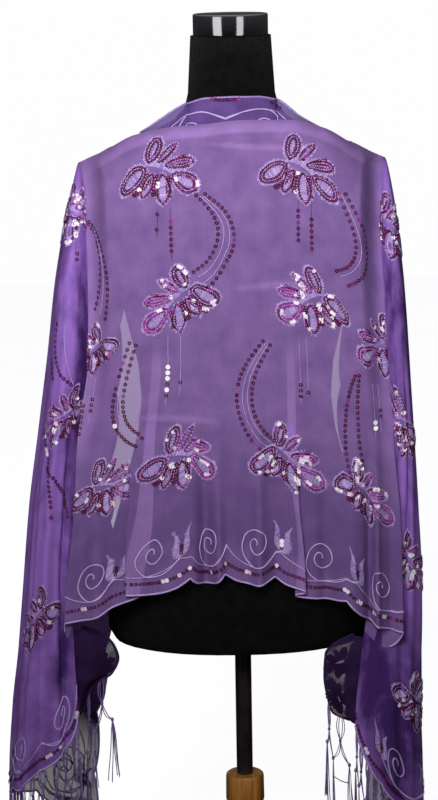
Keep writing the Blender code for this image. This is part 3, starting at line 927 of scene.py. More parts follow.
@dataclass
class BackPanel(Drape):
    """The shawl's middle, with the strips of it that turn under at its two sides."""

    left: HangingEnd | None = None
    right: HangingEnd | None = None
    columns: int = 330
    rows: int = 200
    turned: bool = True
    left_tuck: float = 0.040
    right_tuck: float = 0.100
    tuck_drop: float = 0.022

    def __post_init__(self) -> None:
        """Draws the tables' curves."""
        self.ridge, self.side = curves(RIDGE, "x"), curves(PANEL_SIDES, "up")

    @staticmethod
    def hem_up(x: Array) -> Array:
        """Draws the hem: cusps joined by round lobes.

        Args:
            x: X of each point.

        Returns:
            The hem's height there.
        """
        starts, ups, lobes = np.array(HEM_CUSPS).T
        i = np.clip(np.searchsorted(starts, x) - 1, 0, len(starts) - 2)
        t = np.clip((x - starts[i]) / (starts[i + 1] - starts[i]), 0.0, 1.0)
        return ups[i] + t * (ups[i + 1] - ups[i]) - lobes[i] * np.sin(math.pi * t) ** LOBE_ROUND

    @staticmethod
    def pleats(x: Array, up: Array) -> Array:
        """Draws the soft pleats, which grow towards the hem.

        Args:
            x: X of each point.
            up: Its height.

        Returns:
            How far they stand out.
        """
        return sum(
            pleat.out * ease((pleat.fades_at - up) / pleat.fades_at) ** 0.8
            * hump(x, pleat.x, pleat.half_width)
            for pleat in PLEATS
        )

    @staticmethod
    def presses(x: Array, up: Array) -> Array:
        """Draws the pressed creases.

        Args:
            x: X of each point.
            up: Its height.

        Returns:
            How far they stand out.
        """
        out = np.zeros(len(x))
        for press in PRESSES:
            t = np.clip((x - press.x) / (press.end_x - press.x), 0.0, 1.0)
            line = press.up + t * (press.end_up - press.up) + press.bow * 4 * t * (1 - t)
            out += press.out * np.sin(math.pi * t) ** 0.5 * hump(up, line, press.half_width)
        return out

    @staticmethod
    def overlaps(x: Array, up: Array) -> tuple[Array, Array]:
        """Draws the overlapping pleats.

        Args:
            x: X of each point.
            up: Its height.

        Returns:
            How far they move the cloth sideways and out.
        """
        sideways, out = np.zeros((2, len(x)))
        for fold in OVERLAPS:
            q = np.clip((x - fold.x) / fold.half_zone, -1.0, 1.0)
            swing = np.sin(math.pi * q) * (1 + np.cos(math.pi * q)) / 2
            swing = swing * ease(1.6 * (fold.fades_at - up) / fold.fades_at)
            sideways -= fold.lap * fold.half_zone * swing
            out += fold.front * OVERLAP_DEPTH * swing
        return sideways, out

    def main(self, across: Array, up: Array, ridge_up: Array) -> Array:
        """Returns the panel's points between its two side folds.

        Args:
            across: Share of the way from the left fold to the right one.
            up: Height above the form's bottom.
            ridge_up: Height of the ridge over each point.

        Returns:
            The points, measured from the form's axis.
        """
        level = np.minimum(up, RIDGE[0].up)
        left_over, right_over, behind, bulge = (read(level) for read in self.side.values())
        left, right = (end.place(np.zeros(len(up)), level).T for end in (self.left, self.right))
        left_x = left[0] - left_over
        x = left_x + across * (right[0] + right_over - left_x)
        side_y = left[1] + across * (right[1] - left[1]) - behind
        middle = ease(across / SIDE_TURN) * ease((1 - across) / SIDE_TURN)
        stand = bulge * np.sin(math.pi * np.clip(across, 0, 1)) ** 0.6 + SIDE_STAND * middle
        drop = np.clip((ridge_up - up) / SHOULDER_ROUND, 0.0, 1.0)
        out = turned_over(drop)
        hung = self.ridge["y"](spread(RIDGE, across)) * (1 - out) + out * (PANEL_BACK - stand)
        sideways, over = self.overlaps(x, up)
        y = (1 - middle) * side_y + middle * (hung - self.presses(x, up))
        return np.stack((x + sideways, y - (self.pleats(x, up) + over) * drop, FORM_BOTTOM + up), axis=1)

    def surface(self, u: Array, v: Array) -> Array:
        """Draws the panel, from its left tuck to its right tuck.

        Args:
            u: Shares across the cloth.
            v: Shares down the cloth.

        Returns:
            Its points.
        """
        across = self.across(u)
        left = np.clip(1 - u / self.left_tuck, 0.0, 1.0)
        right = np.clip((u - 1 + self.right_tuck) / self.right_tuck, 0.0, 1.0)
        ridge_up = self.ridge["up"](spread(RIDGE, across))
        lifted = self.tuck_drop * np.sin(math.pi * (left + right) ** 0.7)
        up = ridge_up + v * (self.hem_up(spread(HEM_CUSPS, across)) - lifted - ridge_up)
        points = self.main(across, up, ridge_up)
        level = np.minimum(up, RIDGE[0].up)
        for end, share in ((self.left, left), (self.right, right)):
            under = np.column_stack((end.place(np.zeros(len(up)), level), FORM_BOTTOM + up))
            turn = np.stack((share, np.sqrt(share), share), axis=1)
            points = points + turn * (under - points) * (share > 0)[:, None]
        return points

    def across(self, u: Array) -> Array:
        """Returns the share of the way between the two side folds."""
        return np.clip((u - self.left_tuck) / (1 - self.left_tuck - self.right_tuck), 0.0, 1.0)

    def doubled(self, u: Array, v: Array) -> Array:
        """Tells how far the panel's folds and creases double it, with painted light and shade added in.

        Args:
            u: Shares across the cloth.
            v: Shares down the cloth.

        Returns:
            The share, under 0 where it stands off low down and painted shade darkens it.
        """
        across = self.across(u)
        x = spread(HEM_CUSPS, across)
        ridge_up = self.ridge["up"](x)
        # Paler along the raised side of the pressed creases
        band = np.clip(self.presses(x, ridge_up + v * (self.hem_up(x) - ridge_up)) * 450, 0.0, 0.7)
        # Painted shade low down, where the panel stands off the form, easing off just above the hem
        band -= 0.55 * ease((v - 0.62) / 0.2) * ease((0.97 - v) / 0.06)
        ends = ease(across / 0.09) * ease((1 - across) / 0.09)
        # Paler under the ridge: two layers of cloth there, with painted light on the top that faces up
        band += 0.9 * ends * ease((RIDGE_BAND - v) / 0.005)
        # Painted light on the panel's two sides, where too little light reaches them
        edges = 0.75 * (1 - ease(across / 0.07)) + 0.3 * (1 - ease((1 - across) / 0.07))
        band += edges * ease((0.66 - v) / 0.1)
        for fold in OVERLAPS:
            q = (x - fold.x) / fold.half_zone * fold.front
            shown = ease((v - 0.42) / 0.25) * ease((q - 0.10) / 0.04) * ease((fold.band - q) / 0.04)
            band += 1.05 * shown
        return band


@dataclass
class Collar(Drape):
    """The upright border behind the neck, from the ridge down into its trough and up to the top edge."""

    panel: BackPanel | None = None
    columns: int = 190
    rows: int = 50
    clearance: float = 0.0010
    turned: bool = True

    def surface(self, u: Array, v: Array) -> Array:
        """Draws the collar, from its scalloped top edge down to the ridge.

        Args:
            u: Shares across the cloth.
            v: Shares down the cloth.

        Returns:
            Its points.
        """
        x = spread(COLLAR_TOP, u)
        ridge_up = self.panel.ridge["up"](x)
        ridge = self.panel.main((x - RIDGE[0].x) / (RIDGE[-1].x - RIDGE[0].x), ridge_up, ridge_up)
        neck = -np.sqrt(np.maximum(NECK_RADIUS**2 - x * x, 0.0))
        rest_y = ridge[:, 1] + COLLAR_STAND
        top_up, lean = (read(x) for read in curves(COLLAR_TOP, "x").values())
        top = np.stack((x, rest_y + lean * (neck - rest_y), FORM_BOTTOM + top_up), axis=1)
        trough = ridge + TROUGH_SHARE * (top - ridge)
        fall = TROUGH_DROP * ease((top[:, 2] - ridge[:, 2]) / TROUGH_RISE)
        trough[:, 2] = np.minimum(ridge[:, 2], top[:, 2]) - fall
        return along(np.array([ridge, trough, top]), 1 - v)


@dataclass
class TurnedCorner(Drape):
    """A corner of the shawl that turns in at an end's inner fold, below the back panel."""

    end: HangingEnd | None = None
    table: tuple[tuple, ...] = LEFT_CORNER
    wave: float = 0.0045
    columns: int = 40
    rows: int = 60

    def surface(self, u: Array, v: Array) -> Array:
        """Draws the corner, from the end's inner fold out to its free edge.

        Args:
            u: Shares across the cloth.
            v: Shares down the cloth.

        Returns:
            Its points.
        """
        up = self.table[0][0] + v * (self.table[-1][0] - self.table[0][0])
        fold_x, fold_y = self.end.ring(np.zeros(len(up)), up).T
        x = fold_x + u * (curve(self.table)(up) - fold_x)
        y = fold_y + u * (CORNER_Y - fold_y) + self.wave * np.sin(2 * math.pi * (u * 1.1 + v * 0.5)) * u
        return np.stack((x, y, FORM_BOTTOM + up), axis=1)

    def doubled(self, u: Array, v: Array) -> Array:
        """Returns 1 by the end's fold and along the worked edges."""
        rim = np.maximum(ease((u - 0.94) / 0.03), ease((v - 0.96) / 0.02))
        return np.maximum(ease((0.45 - u) / 0.3), rim)


class Petal(NamedTuple):
    """A petal of the flower: where its base is, its direction, length and width, tip and sequin rows."""

    x: float
    y: float
    turn: float
    length: float
    width: float
    point: float
    rows: int


# Millimetres and degrees on the flat cloth, from the middle of the flower's heart
FLOWER = table(
    Petal,
    (-13, 10, 68, 36, 22, 0.1, 2), (-2, 9, 42, 33, 12, 0.4, 1), (6, 4, 2, 39, 17, 0.2, 2),
    (13, -8, -36, 41, 28, 0.1, 2), (2, -5, -92, 40, 22, 0.7, 1), (-9, -2, -122, 34, 17, 0.5, 1),
    (-16, 7, -153, 43, 29, 0.2, 2),
)


class Bar(NamedTuple):
    """A thick block of sequins in a flower: its two ends, its bow and how many rows it has."""

    x: float
    y: float
    end_x: float
    end_y: float
    bow: float
    rows: int


BARS = table(
    Bar,
    (-5, -7, -10, -29, 3, 3), (-15, -4, -36, -22, -4, 2), (10, -11, 8, -34, 1, 2), (4, 11, 19, 27, 1, 1),
    (9, 5, 32, 13, -1, 1),
)
# The heart's satin band: its two ends, its bow and half its width
HEART = ((-17.0, 11.0), (17.0, -9.0), -5.0, 4.5)
# Half of a bud's outer and inner outlines: across and up, in millimetres from its foot
BUD = (
    ((0, 0), (8, 1), (12.5, 7), (12.8, 15), (11, 23), (11.5, 30), (15, 38)),
    ((0, 6), (3, 8), (4, 13), (4, 19), (4.5, 25), (7, 30), (14, 37)),
)
BUD_SEQUINS = ((0.0, 5.0), (0.4, 9.6), (0.0, 14.2))
# The spiral's radius at shares of its length
SPIRAL = ((0, 0.15, 0.43, 0.60, 0.80, 1), (0.031, 0.020, 0.0185, 0.0115, 0.0085, 0.003))
# The spaces between satin stitches, between the sequins of a block, and between those of arcs and drops
SATIN = 0.0011
BLOCK = 0.0036
SPACING = 0.0074


def petal_outline(petal: Petal, inset: float, steps: int) -> Array:
    """Draws a petal's outline from its base round its tip.

    Args:
        petal: The petal.
        inset: How far inside the edge to draw, in millimetres.
        steps: How many points.

    Returns:
        The points, in metres from the flower's heart.
    """
    angle = np.linspace(0.12, 2 * math.pi - 0.12, steps)
    run = (1 - np.cos(angle)) / 2
    width = (petal.width - 2 * inset) / 2 * np.sin(angle) * (0.72 + 0.42 * run)
    width = width * (1 - petal.point * run**5) * (1 + 0.07 * np.sin(3 * angle + petal.turn))
    reach = inset + (petal.length - 2 * inset) * run
    turn = math.radians(petal.turn)
    x = petal.x + reach * math.cos(turn) - width * math.sin(turn)
    y = petal.y + reach * math.sin(turn) + width * math.cos(turn)
    return np.stack((x, y), axis=1) / 1000


def sampled(line: Array, far: Array, where: Array) -> Array:
    """Reads a line of points at distances along it, where far gives the points' own."""
    return np.stack([np.interp(where, far, axis) for axis in line.T], axis=-1)


def spaced(points: Array, spacing: float) -> Array:
    """Spaces points evenly along a line of points.

    Args:
        points: The line.
        spacing: Their spacing.

    Returns:
        The spaced points.
    """
    far = lengths(points)
    count = max(int(round(far[-1] / spacing)), 1)
    return sampled(points, far, np.linspace(0, far[-1], count + 1))


def right_of(way: Array) -> Array:
    """Returns the direction to the right of a way on the flat cloth."""
    return unit(np.array([way[1], -way[0]]))


def bowed(start: Array, end: Array, bow: float, steps: int) -> Array:
    """Draws an arc on the flat cloth.

    Args:
        start: Its first point.
        end: Its last point.
        bow: How far its middle stands to the right of the way from start to end, in metres.
        steps: How many points.

    Returns:
        The arc's points.
    """
    share = np.linspace(0, 1, steps)[:, None]
    return start + share * (end - start) + right_of(end - start) * bow * 4 * share * (1 - share)


class Needlework:
    """Many small faces on the cloth, collected and joined into one mesh."""

    def __init__(self) -> None:
        """Starts with nothing."""
        self.points: list[Array] = []
        self.faces: list[Array] = []
        self.tones: list[Array] = []
        self.count = 0

    def add(self, points: Array, faces: Array, tones: Array) -> None:
        """Adds faces.

        Args:
            points: Their points.
            faces: Quads, numbered within these points.
            tones: A tone from 0 to 1 for each point.
        """
        self.points.append(points.reshape(-1, 3))
        self.faces.append(faces.reshape(-1, 4) + self.count)
        self.tones.append(tones)
        self.count += len(self.points[-1])

    def strips(self, starts: Array, ends: Array, normals: Array, width: float, tones: Array) -> None:
        """Adds single flat stitches.

        Args:
            starts: Where each stitch begins.
            ends: Where it ends.
            normals: The cloth's normals there.
            width: The width of the thread.
            tones: A tone for each stitch.
        """
        aside = unit(np.cross(ends - starts, normals)) * width / 2
        corners = np.stack((starts - aside, starts + aside, ends + aside, ends - aside), axis=1)
        self.add(corners, np.arange(len(starts) * 4), np.repeat(tones, 4))

    def tube(self, line: Array, normals: Array, width: float, height: float, tone: float) -> None:
        """Adds a rounded thread along a line.

        Args:
            line: The line's points.
            normals: The cloth's normals there.
            width: The thread's width on the cloth.
            height: How far it stands up.
            tone: Its tone.
        """
        run = unit(np.gradient(line, axis=0))
        aside = unit(np.cross(run, normals)) * width / 2
        rise = unit(np.cross(aside, run)) * height / 2
        rings = np.stack((line - aside, line + rise, line + aside, line - rise), axis=1)
        k = np.arange(len(line) - 1)[:, None] * 4 + np.arange(4)
        after = k - k % 4 + (k + 1) % 4
        faces = np.stack((k, after, after + 4, k + 4), axis=2)
        self.add(rings, faces, np.full(len(line) * 4, tone))

    def to_object(self, name: str, finish: Material) -> Piece:
        """Joins everything that was added into one mesh.

        Args:
            name: The piece's name.
            finish: Its material.

        Returns:
            The piece.
        """
        mesh = bpy.data.meshes.new(name)
        mesh.from_pydata(np.concatenate(self.points).tolist(), [], np.concatenate(self.faces).tolist())
        tone = mesh.attributes.new("tone", "FLOAT", "POINT")
        tone.data.foreach_set("value", np.concatenate(self.tones).astype(np.float32))
        return link(name, mesh, finish)


class Sequins(Needlework):
    """Cupped sequins with a hole in the middle, each sewn on at its own slight tilt."""

    OUTER = 0.0026
    HOLE = 0.0010
    CUP = 0.00025
    SIDES = 7

    def __init__(self, rng: np.random.Generator) -> None:
        """Makes the one sequin that is repeated.

        Args:
            rng: Gives the tilts and tones.
        """
        super().__init__()
        self.rng = rng
        bm = bmesh.new()
        bmesh.ops.create_circle(bm, segments=self.SIDES, radius=self.OUTER)
        grown = bmesh.ops.extrude_edge_only(bm, edges=bm.edges)
        hole = [v for v in grown["geom"] if isinstance(v, bmesh.types.BMVert)]
        bmesh.ops.scale(bm, vec=[self.HOLE / self.OUTER] * 2 + [1.0], verts=hole)
        bmesh.ops.translate(bm, vec=(0, 0, -self.CUP), verts=hole)
        bm.verts.index_update()
        self.shape = np.array([v.co[:] for v in bm.verts])
        self.shape_faces = np.array([[v.index for v in f.verts] for f in bm.faces])
        # A painted glint fills a sequin's hole
        self.full = self.shape * np.where([[v in hole] for v in bm.verts], 0.25, 1.0)
        bm.free()

    def sew(self, centres: Array, normals: Array, size: float, shine: float, magenta_sheen: float) -> None:
        """Sews on a sequin at each centre.

        Args:
            centres: Where they go.
            normals: The cloth's normals there.
            size: Their size against the usual one.
            shine: The share of them painted as glints, near white and larger.
            magenta_sheen: The share of them painted a brighter magenta, as a painted reflection.
        """
        count = len(centres)
        lean = self.rng.normal(0.0, 0.11, (count, 3))
        up = unit(normals + lean)
        east = unit(np.cross(up, np.array([0.0, 0.0, 1.0]) + 0.01 * lean))
        turn = np.stack((east, np.cross(up, east), up), axis=1)
        # Painted glints: a few sequins, often two side by side, get near-white tones and larger, filled
        # shapes
        lit = self.rng.random(count) < shine / 2.6
        lit = lit | (np.roll(lit, 1) & (self.rng.random(count) < 0.6))
        shapes = np.where(lit[:, None, None], 1.25 * self.full, self.shape) * size
        points = np.einsum("npk,nkx->npx", shapes, turn) + centres[:, None]
        faces = self.shape_faces + np.arange(count)[:, None, None] * len(self.shape)
        pick = self.rng.random(count)
        bright, dark, glint = self.rng.random((3, count))
        tones = np.where(pick < magenta_sheen, 0.40 + 0.22 * bright, 0.3 * dark)
        self.add(points, faces, np.repeat(np.where(lit, 0.82 + 0.18 * glint, tones), len(self.shape)))


@dataclass
class Embroiderer:
    """Sews the shawl's motifs onto one stretch of cloth."""

    chart: Chart
    rng: np.random.Generator
    # How pale its threads look there: 1 keeps their tones, 0 paints them dark as shade
    light: float = 1.0
    thread: Needlework = field(default_factory=Needlework)
    thread_lift: float = 0.0007
    sequin_lift: float = 0.0013
    dash_lift: float = 0.0019

    def __post_init__(self) -> None:
        """Gets the box of sequins."""
        self.sequins = Sequins(self.rng)

    def line(self, places: Array, width: float, tone: float) -> None:
        """Couches a thread along places on the cloth, up to where they leave it.

        Args:
            places: The places.
            width: The thread's width.
            tone: Its tone.
        """
        off = np.flatnonzero(np.isnan(places[:, 0]))
        places = places[: off[0]] if len(off) else places
        if len(places) >= 3:
            points, normals = self.chart.at(places, self.thread_lift)
            self.thread.tube(points, normals, width, width * 0.7, tone * self.light)

    def stitches(
        self, starts: Array, ends: Array, width: float, tone: float, lift: float | None = None
    ) -> None:
        """Sews separate straight stitches between places, where both are on the cloth.

        Args:
            starts: Where the stitches begin.
            ends: Where they end.
            width: The width of the thread.
            tone: Its tone, which varies a little from stitch to stitch.
            lift: How far they lie above the cloth, if they lie over other work.
        """
        on = ~np.isnan(starts[:, 0] + ends[:, 0])
        # The stitches over other work draw a tone for those off the cloth too
        tones = tone + self.rng.normal(0, 0.12, len(on) if lift else on.sum())
        if on.any():
            first, normals = self.chart.at(starts[on], lift or self.thread_lift)
            last, _ = self.chart.at(ends[on], lift or self.thread_lift)
            tones = np.clip(tones[on] if lift else tones, 0, 1) * self.light
            self.thread.strips(first, last, normals, width, tones)

    def sequin_row(self, places: Array, size: float = 1.0, shine: float = 0.06, magenta_sheen: float = 0.05) -> None:
        """Sews sequins at places on the cloth.

        Args:
            places: The places.
            size: Their size against the usual one.
            shine: The share of them painted as glints.
            magenta_sheen: The share of them painted a brighter magenta, as a painted reflection.
        """
        places = places[~np.isnan(places[:, 0])]
        if len(places):
            self.sequins.sew(*self.chart.at(places, self.sequin_lift), size, shine, magenta_sheen)

    def petal(self, petal: Petal, place: Laying, shine: float) -> None:
        """Sews one petal: its corded, fuzzy edge, its rows of sequins and its pale satin middle.

        Args:
            petal: The petal.
            place: Lays it on the cloth.
            shine: The share of its sequins painted as glints.
        """
        points = spaced(petal_outline(petal, 0.4, 60), SATIN)
        run = unit(np.gradient(points, axis=0))
        away = np.stack((-run[:, 1], run[:, 0]), axis=1)
        away = unit(away + self.rng.normal(0, 0.30, away.shape))
        reach = away * 0.0026 * (0.55 + 0.7 * self.rng.random(len(points)))[:, None]
        self.stitches(place(points - reach * 0.45), place(points + reach), 0.0008, 0.62)
        self.line(place(petal_outline(petal, 0.6, 40)), 0.0015, 0.72)
        # Petals that point to the flower's right get more sequins with the painted magenta reflection
        magenta_sheen = min(6.0 * shine, 0.9) if abs(petal.turn) < 50 else shine
        for row in range(petal.rows):
            outline = petal_outline(petal, 2.4 + 4.2 * row, 60)
            self.sequin_row(place(spaced(outline, BLOCK)), 0.85, shine, magenta_sheen)
            points = spaced(petal_outline(petal, 4.5 + 4.2 * row, 60), 0.0034)
            run = unit(np.gradient(points, axis=0)) * 0.0012
            self.stitches(place(points - run), place(points + run), 0.0009, 0.66, self.dash_lift)
        inner = petal_outline(petal, 1.4 + 4.1 * petal.rows, 41)
        half = len(inner) // 2
        left, right = spaced(inner[: half + 1], SATIN), spaced(inner[half:][::-1], SATIN)
        count = min(len(left), len(right))
        self.stitches(place(left[:count]), place(right[:count]), 0.0008, 0.62)

    def flower(self, spot: "Spot", middle: Share) -> None:
        """Sews a whole flower, with the satin band across its heart.

        Args:
            spot: The flower.
            middle: Its middle on the cloth.
        """
        place = self.placer(spot, middle)
        for petal in FLOWER:
            self.petal(petal, place, spot.shine)
        for bar in BARS:
            self.bar(bar, place, spot.shine)
        start, end, bow, half = np.array(HEART[0]), np.array(HEART[1]), *HEART[2:]
        band, away = bowed(start, end, bow, 44), right_of(end - start)
        deep = half * np.sin(math.pi * np.linspace(0.08, 0.92, 44))[:, None] ** 0.6
        edges = [(band + way * deep * (away + way * 0.1)) / 1000 for way in (-1, 1)]
        self.stitches(place(edges[0]), place(edges[1]), 0.0008, 0.55)

    def bar(self, bar: Bar, place: Laying, shine: float) -> None:
        """Sews a thick block of sequins, row beside row.

        Args:
            bar: The block.
            place: Lays it on the cloth.
            shine: The share of its sequins painted as glints.
        """
        start, end = np.array([bar[:2], bar[2:4]]) / 1000
        for row in range(bar.rows):
            aside = right_of(end - start) * BLOCK * (row - (bar.rows - 1) / 2)
            line = bowed(start + aside, end + aside * 0.7, bar.bow / 1000, 30)
            self.sequin_row(place(spaced(line, 0.0040)), 0.95, shine)

    def placer(self, spot: "Spot", middle: Share) -> Laying:
        """Turns and sizes flat points, and lays them round a place.

        Args:
            spot: The flower.
            middle: The place.

        Returns:
            The function that lays them.
        """
        turn = math.radians(spot.turn)
        matrix = np.array([[math.cos(turn), math.sin(turn)], [-math.sin(turn), math.cos(turn)]])
        scale = np.array([-spot.size if spot.mirrored else spot.size, spot.size])
        return lambda flat: self.chart.around(middle, (flat * scale) @ matrix)

    def arc(self, arc: "Arc") -> None:
        """Sews an arc, of spaced sequins on a fine thread or of plain thread.

        Args:
            arc: The arc.
        """
        start = self.chart.seen(arc.x, arc.y)
        reach = self.chart.between(start, self.chart.seen(arc.end_x, arc.end_y))
        flat = bowed(np.zeros(2), reach, arc.bow, 60)
        if arc.spacing:
            self.sequin_row(self.chart.around(start, spaced(flat, arc.spacing)), 1.0, 0.012)
            self.line(self.chart.around(start, flat[::2]), 0.0005, 0.35)
        else:
            self.line(self.chart.around(start, flat), 0.0009, 0.8)

    def drop(self, drop: "Drop") -> None:
        """Sews a short hanging line of sequins on a thread.

        Args:
            drop: The line.
        """
        top = self.chart.seen(drop.x, drop.y)
        sequins = -drop.above - SPACING * np.arange(drop.count)
        thread = np.linspace(0, sequins[-1] - drop.below, 30)
        lines = (np.stack((np.zeros(len(line)), line), axis=1) for line in (thread, sequins))
        thread, sequins = (self.chart.around(top, line) for line in lines)
        self.line(thread, 0.0006, drop.tone)
        self.sequin_row(sequins, 1.0, drop.shine)

    def edge_cord(self, edge: Edge, start: float, end: float, tone: float) -> None:
        """Oversews an edge with a satin-stitched cord.

        Args:
            edge: The edge.
            start: Where it starts, as a share of the edge.
            end: Where it ends.
            tone: Its tone.
        """
        start, end = (self.chart.edge_length(edge, share) for share in (start, end))
        distance = np.linspace(start, end, max(int((end - start) / 0.0022), 4))
        places = self.chart.from_edge(edge, distance, np.full(len(distance), 0.0010))
        self.thread.tube(*self.chart.at(places), 0.0030, 0.0016, tone)

    def lobe(self, lobe: "Lobe") -> None:
        """Sews a lobe of the border: its row of sequins, its swag, its spiral and its bud.

        Args:
            lobe: The lobe.
        """
        start = self.chart.edge_length(lobe.edge, lobe.start)
        wide = self.chart.edge_length(lobe.edge, lobe.end) - start
        distance = start + np.arange(0.0, wide, 0.0054)
        if lobe.sequins:
            inward = np.full(len(distance), 0.0165)
            self.sequin_row(self.chart.from_edge(lobe.edge, distance, inward), 0.95, lobe.shine)

        def place(flat: Array) -> Array:
            """Lays points given as a share of the lobe and a height above the edge."""
            share = 1 - flat[:, 0] if lobe.mirrored else flat[:, 0]
            return self.chart.from_edge(lobe.edge, start + share * wide, flat[:, 1] * lobe.depth)

        if lobe.curl:
            self.swag(place, wide, lobe.curl)
        if lobe.bud:
            self.bud(lobe.edge, start + (0.0 if lobe.mirrored else wide), lobe.depth)

    def swag(self, place: Laying, wide: float, middle: float) -> None:
        """Sews a lobe's swag and the long stroke that curls up into a spiral.

        Args:
            place: Lays it on the cloth.
            wide: The lobe's width.
            middle: The spiral's place, as a share of the lobe.
        """
        share = np.linspace(0, 1, 40)
        self.line(place(np.stack((share, 0.039 - 0.058 * share * (1 - share)), axis=1)), 0.0016, 0.75)
        turns = np.linspace(0, 1, 90)
        radius = np.interp(turns, *SPIRAL)
        angle = -math.pi / 2 - turns * 2 * math.pi * 1.75
        aside, above = radius * np.cos(angle) / wide, radius * np.sin(angle)
        curl = np.stack((middle + aside, 0.0555 + above), axis=1)
        stroke = bowed(np.array([1.0, 0.041]), curl[0], 0.0, 20)
        stroke[:, 1] -= 0.006 * np.sin(math.pi * np.linspace(0, 1, 20)) ** 1.2
        self.line(place(np.concatenate((stroke[:-1], curl))), 0.0019, 0.85)

    def bud(self, edge: Edge, distance: float, depth: float) -> None:
        """Sews a bud that stands on a cusp, with three sequins in its middle.

        Args:
            edge: The edge.
            distance: The cusp's distance along it.
            depth: How tall it is, against the usual.
        """

        def place(flat: Array) -> Array:
            """Lays points given along the edge and above the bud's foot."""
            return self.chart.from_edge(edge, distance + flat[:, 0], (0.041 + flat[:, 1]) * depth)

        steps = 76
        lines = (np.repeat(np.array(line)[:, None], steps, axis=1) for line in BUD)
        outer, inner = (along(line, np.linspace(0, 1, steps)) / 1000 for line in lines)
        for side in np.array([[-1.0, 1.0], [1.0, 1.0]]):
            fuzz = self.rng.normal(0, 0.0008, outer.shape)
            self.stitches(place(inner * side - fuzz), place(outer * side + fuzz), 0.0006, 0.62)
            self.line(place(outer * side), 0.0009, 0.6)
        self.sequin_row(place(np.array(BUD_SEQUINS) / 1000), 1.0, 0.25)


class Lobe(NamedTuple):
    """A lobe of the border: its edge, where it starts and ends on it, and what is sewn there.

    A curl of 0 leaves out its swag and spiral.
    """

    edge: Edge
    start: float
    end: float
    mirrored: bool = False
    bud: bool = True
    depth: float = 1.0
    shine: float = 0.08
    sequins: bool = True
    curl: float = 0.45


class Spot(NamedTuple):
    """Where a flower goes, how it turns and how many of its sequins have painted glints."""

    x: float
    y: float
    turn: float
    size: float
    mirrored: bool
    shine: float


class Arc(NamedTuple):
    """An arc: its two ends, its bow to the right and its sequins' spacing, which is 0 for plain thread."""

    x: float
    y: float
    end_x: float
    end_y: float
    bow: float
    spacing: float = SPACING


class Drop(NamedTuple):
    """A hanging line of sequins: its top, bare thread above and below, its count, its share of painted glints
    and thread tone.
    """

    x: float
    y: float
    above: float
    count: int
    below: float
    shine: float
    tone: float


def linear(hexadecimal: str) -> Colour:
    """Turns an sRGB hex colour into a linear one.

    Args:
        hexadecimal: The hex colour.

    Returns:
        The linear one.
    """
    parts = [int(hexadecimal[i : i + 2], 16) / 255 for i in (1, 3, 5)]
    red, green, blue = (p / 12.92 if p <= 0.04045 else ((p + 0.055) / 1.055) ** 2.4 for p in parts)
    return red, green, blue, 1.0


def fill(node: Node, *inputs: object, **named: object) -> None:
    """Sets a node's properties and sockets, and links those that are given another socket.

    Args:
        node: The node.
        inputs: What its first sockets get.
        named: What its properties and its other sockets get, with spaces as underscores.
    """
    for name, value in (*enumerate(inputs), *named.items()):
        key = name.replace("_", " ") if isinstance(name, str) else name
        if isinstance(key, str) and key not in node.inputs:
            setattr(node, name, value)
        elif isinstance(value, Socket):
            node.id_data.links.new(value, node.inputs[key])
        else:
            node.inputs[key].default_value = value


def add_node(
    tree: Tree, kind: str, *inputs: object, output: int | str = 0, stops: dict | None = None, **named: object
) -> Socket:
    """Adds a node with its settings and links.

    Args:
        tree: The tree.
        kind: The node's type, without the words that all of them start with.
        inputs: What its first sockets get, as numbers or other sockets.
        output: Which of its outputs is wanted.
        stops: A colour ramp's hex colours by their positions.
        named: What its properties and its other sockets get, with spaces as underscores.

    Returns:
        The output.
    """
    node = tree.nodes.new(f"ShaderNode{kind}")
    fill(node, *inputs, **named)
    if stops:
        bands = node.color_ramp.elements
        while len(bands) < len(stops):
            bands.new(0.5)
        for band, (position, shade) in zip(bands, stops.items()):
            band.position, band.color = position, linear(shade)
    return node.outputs[output]


def weighted(add: Adder, start: float, *parts: tuple[Socket, float]) -> Socket:
    """Adds sockets, each times its weight, to a number.

    Args:
        add: Adds a node.
        start: The number.
        parts: The sockets and their weights.

    Returns:
        The sum.
    """
    total = start
    for part, weight in parts:
        total = add("Math", part, weight, total, operation="MULTIPLY_ADD")
    return total


@dataclass(frozen=True)
class Finish:
    """What every finish has: a name and a roughness."""

    name: str = "finish"
    roughness: float = 0.5

    def material(self) -> Material:
        """Makes the material, once.

        Returns:
            The material.
        """
        made = bpy.data.materials.get(self.name)
        if not made:
            made = bpy.data.materials.new(self.name)
            made.use_nodes = True
            shader = made.node_tree.nodes["Principled BSDF"]
            fill(shader, Roughness=self.roughness)
            self.paint(partial(add_node, made.node_tree), shader)
        return made

    def paint(self, add: Adder, shader: Node) -> None:
        """Adds the finish's nodes."""
        raise NotImplementedError


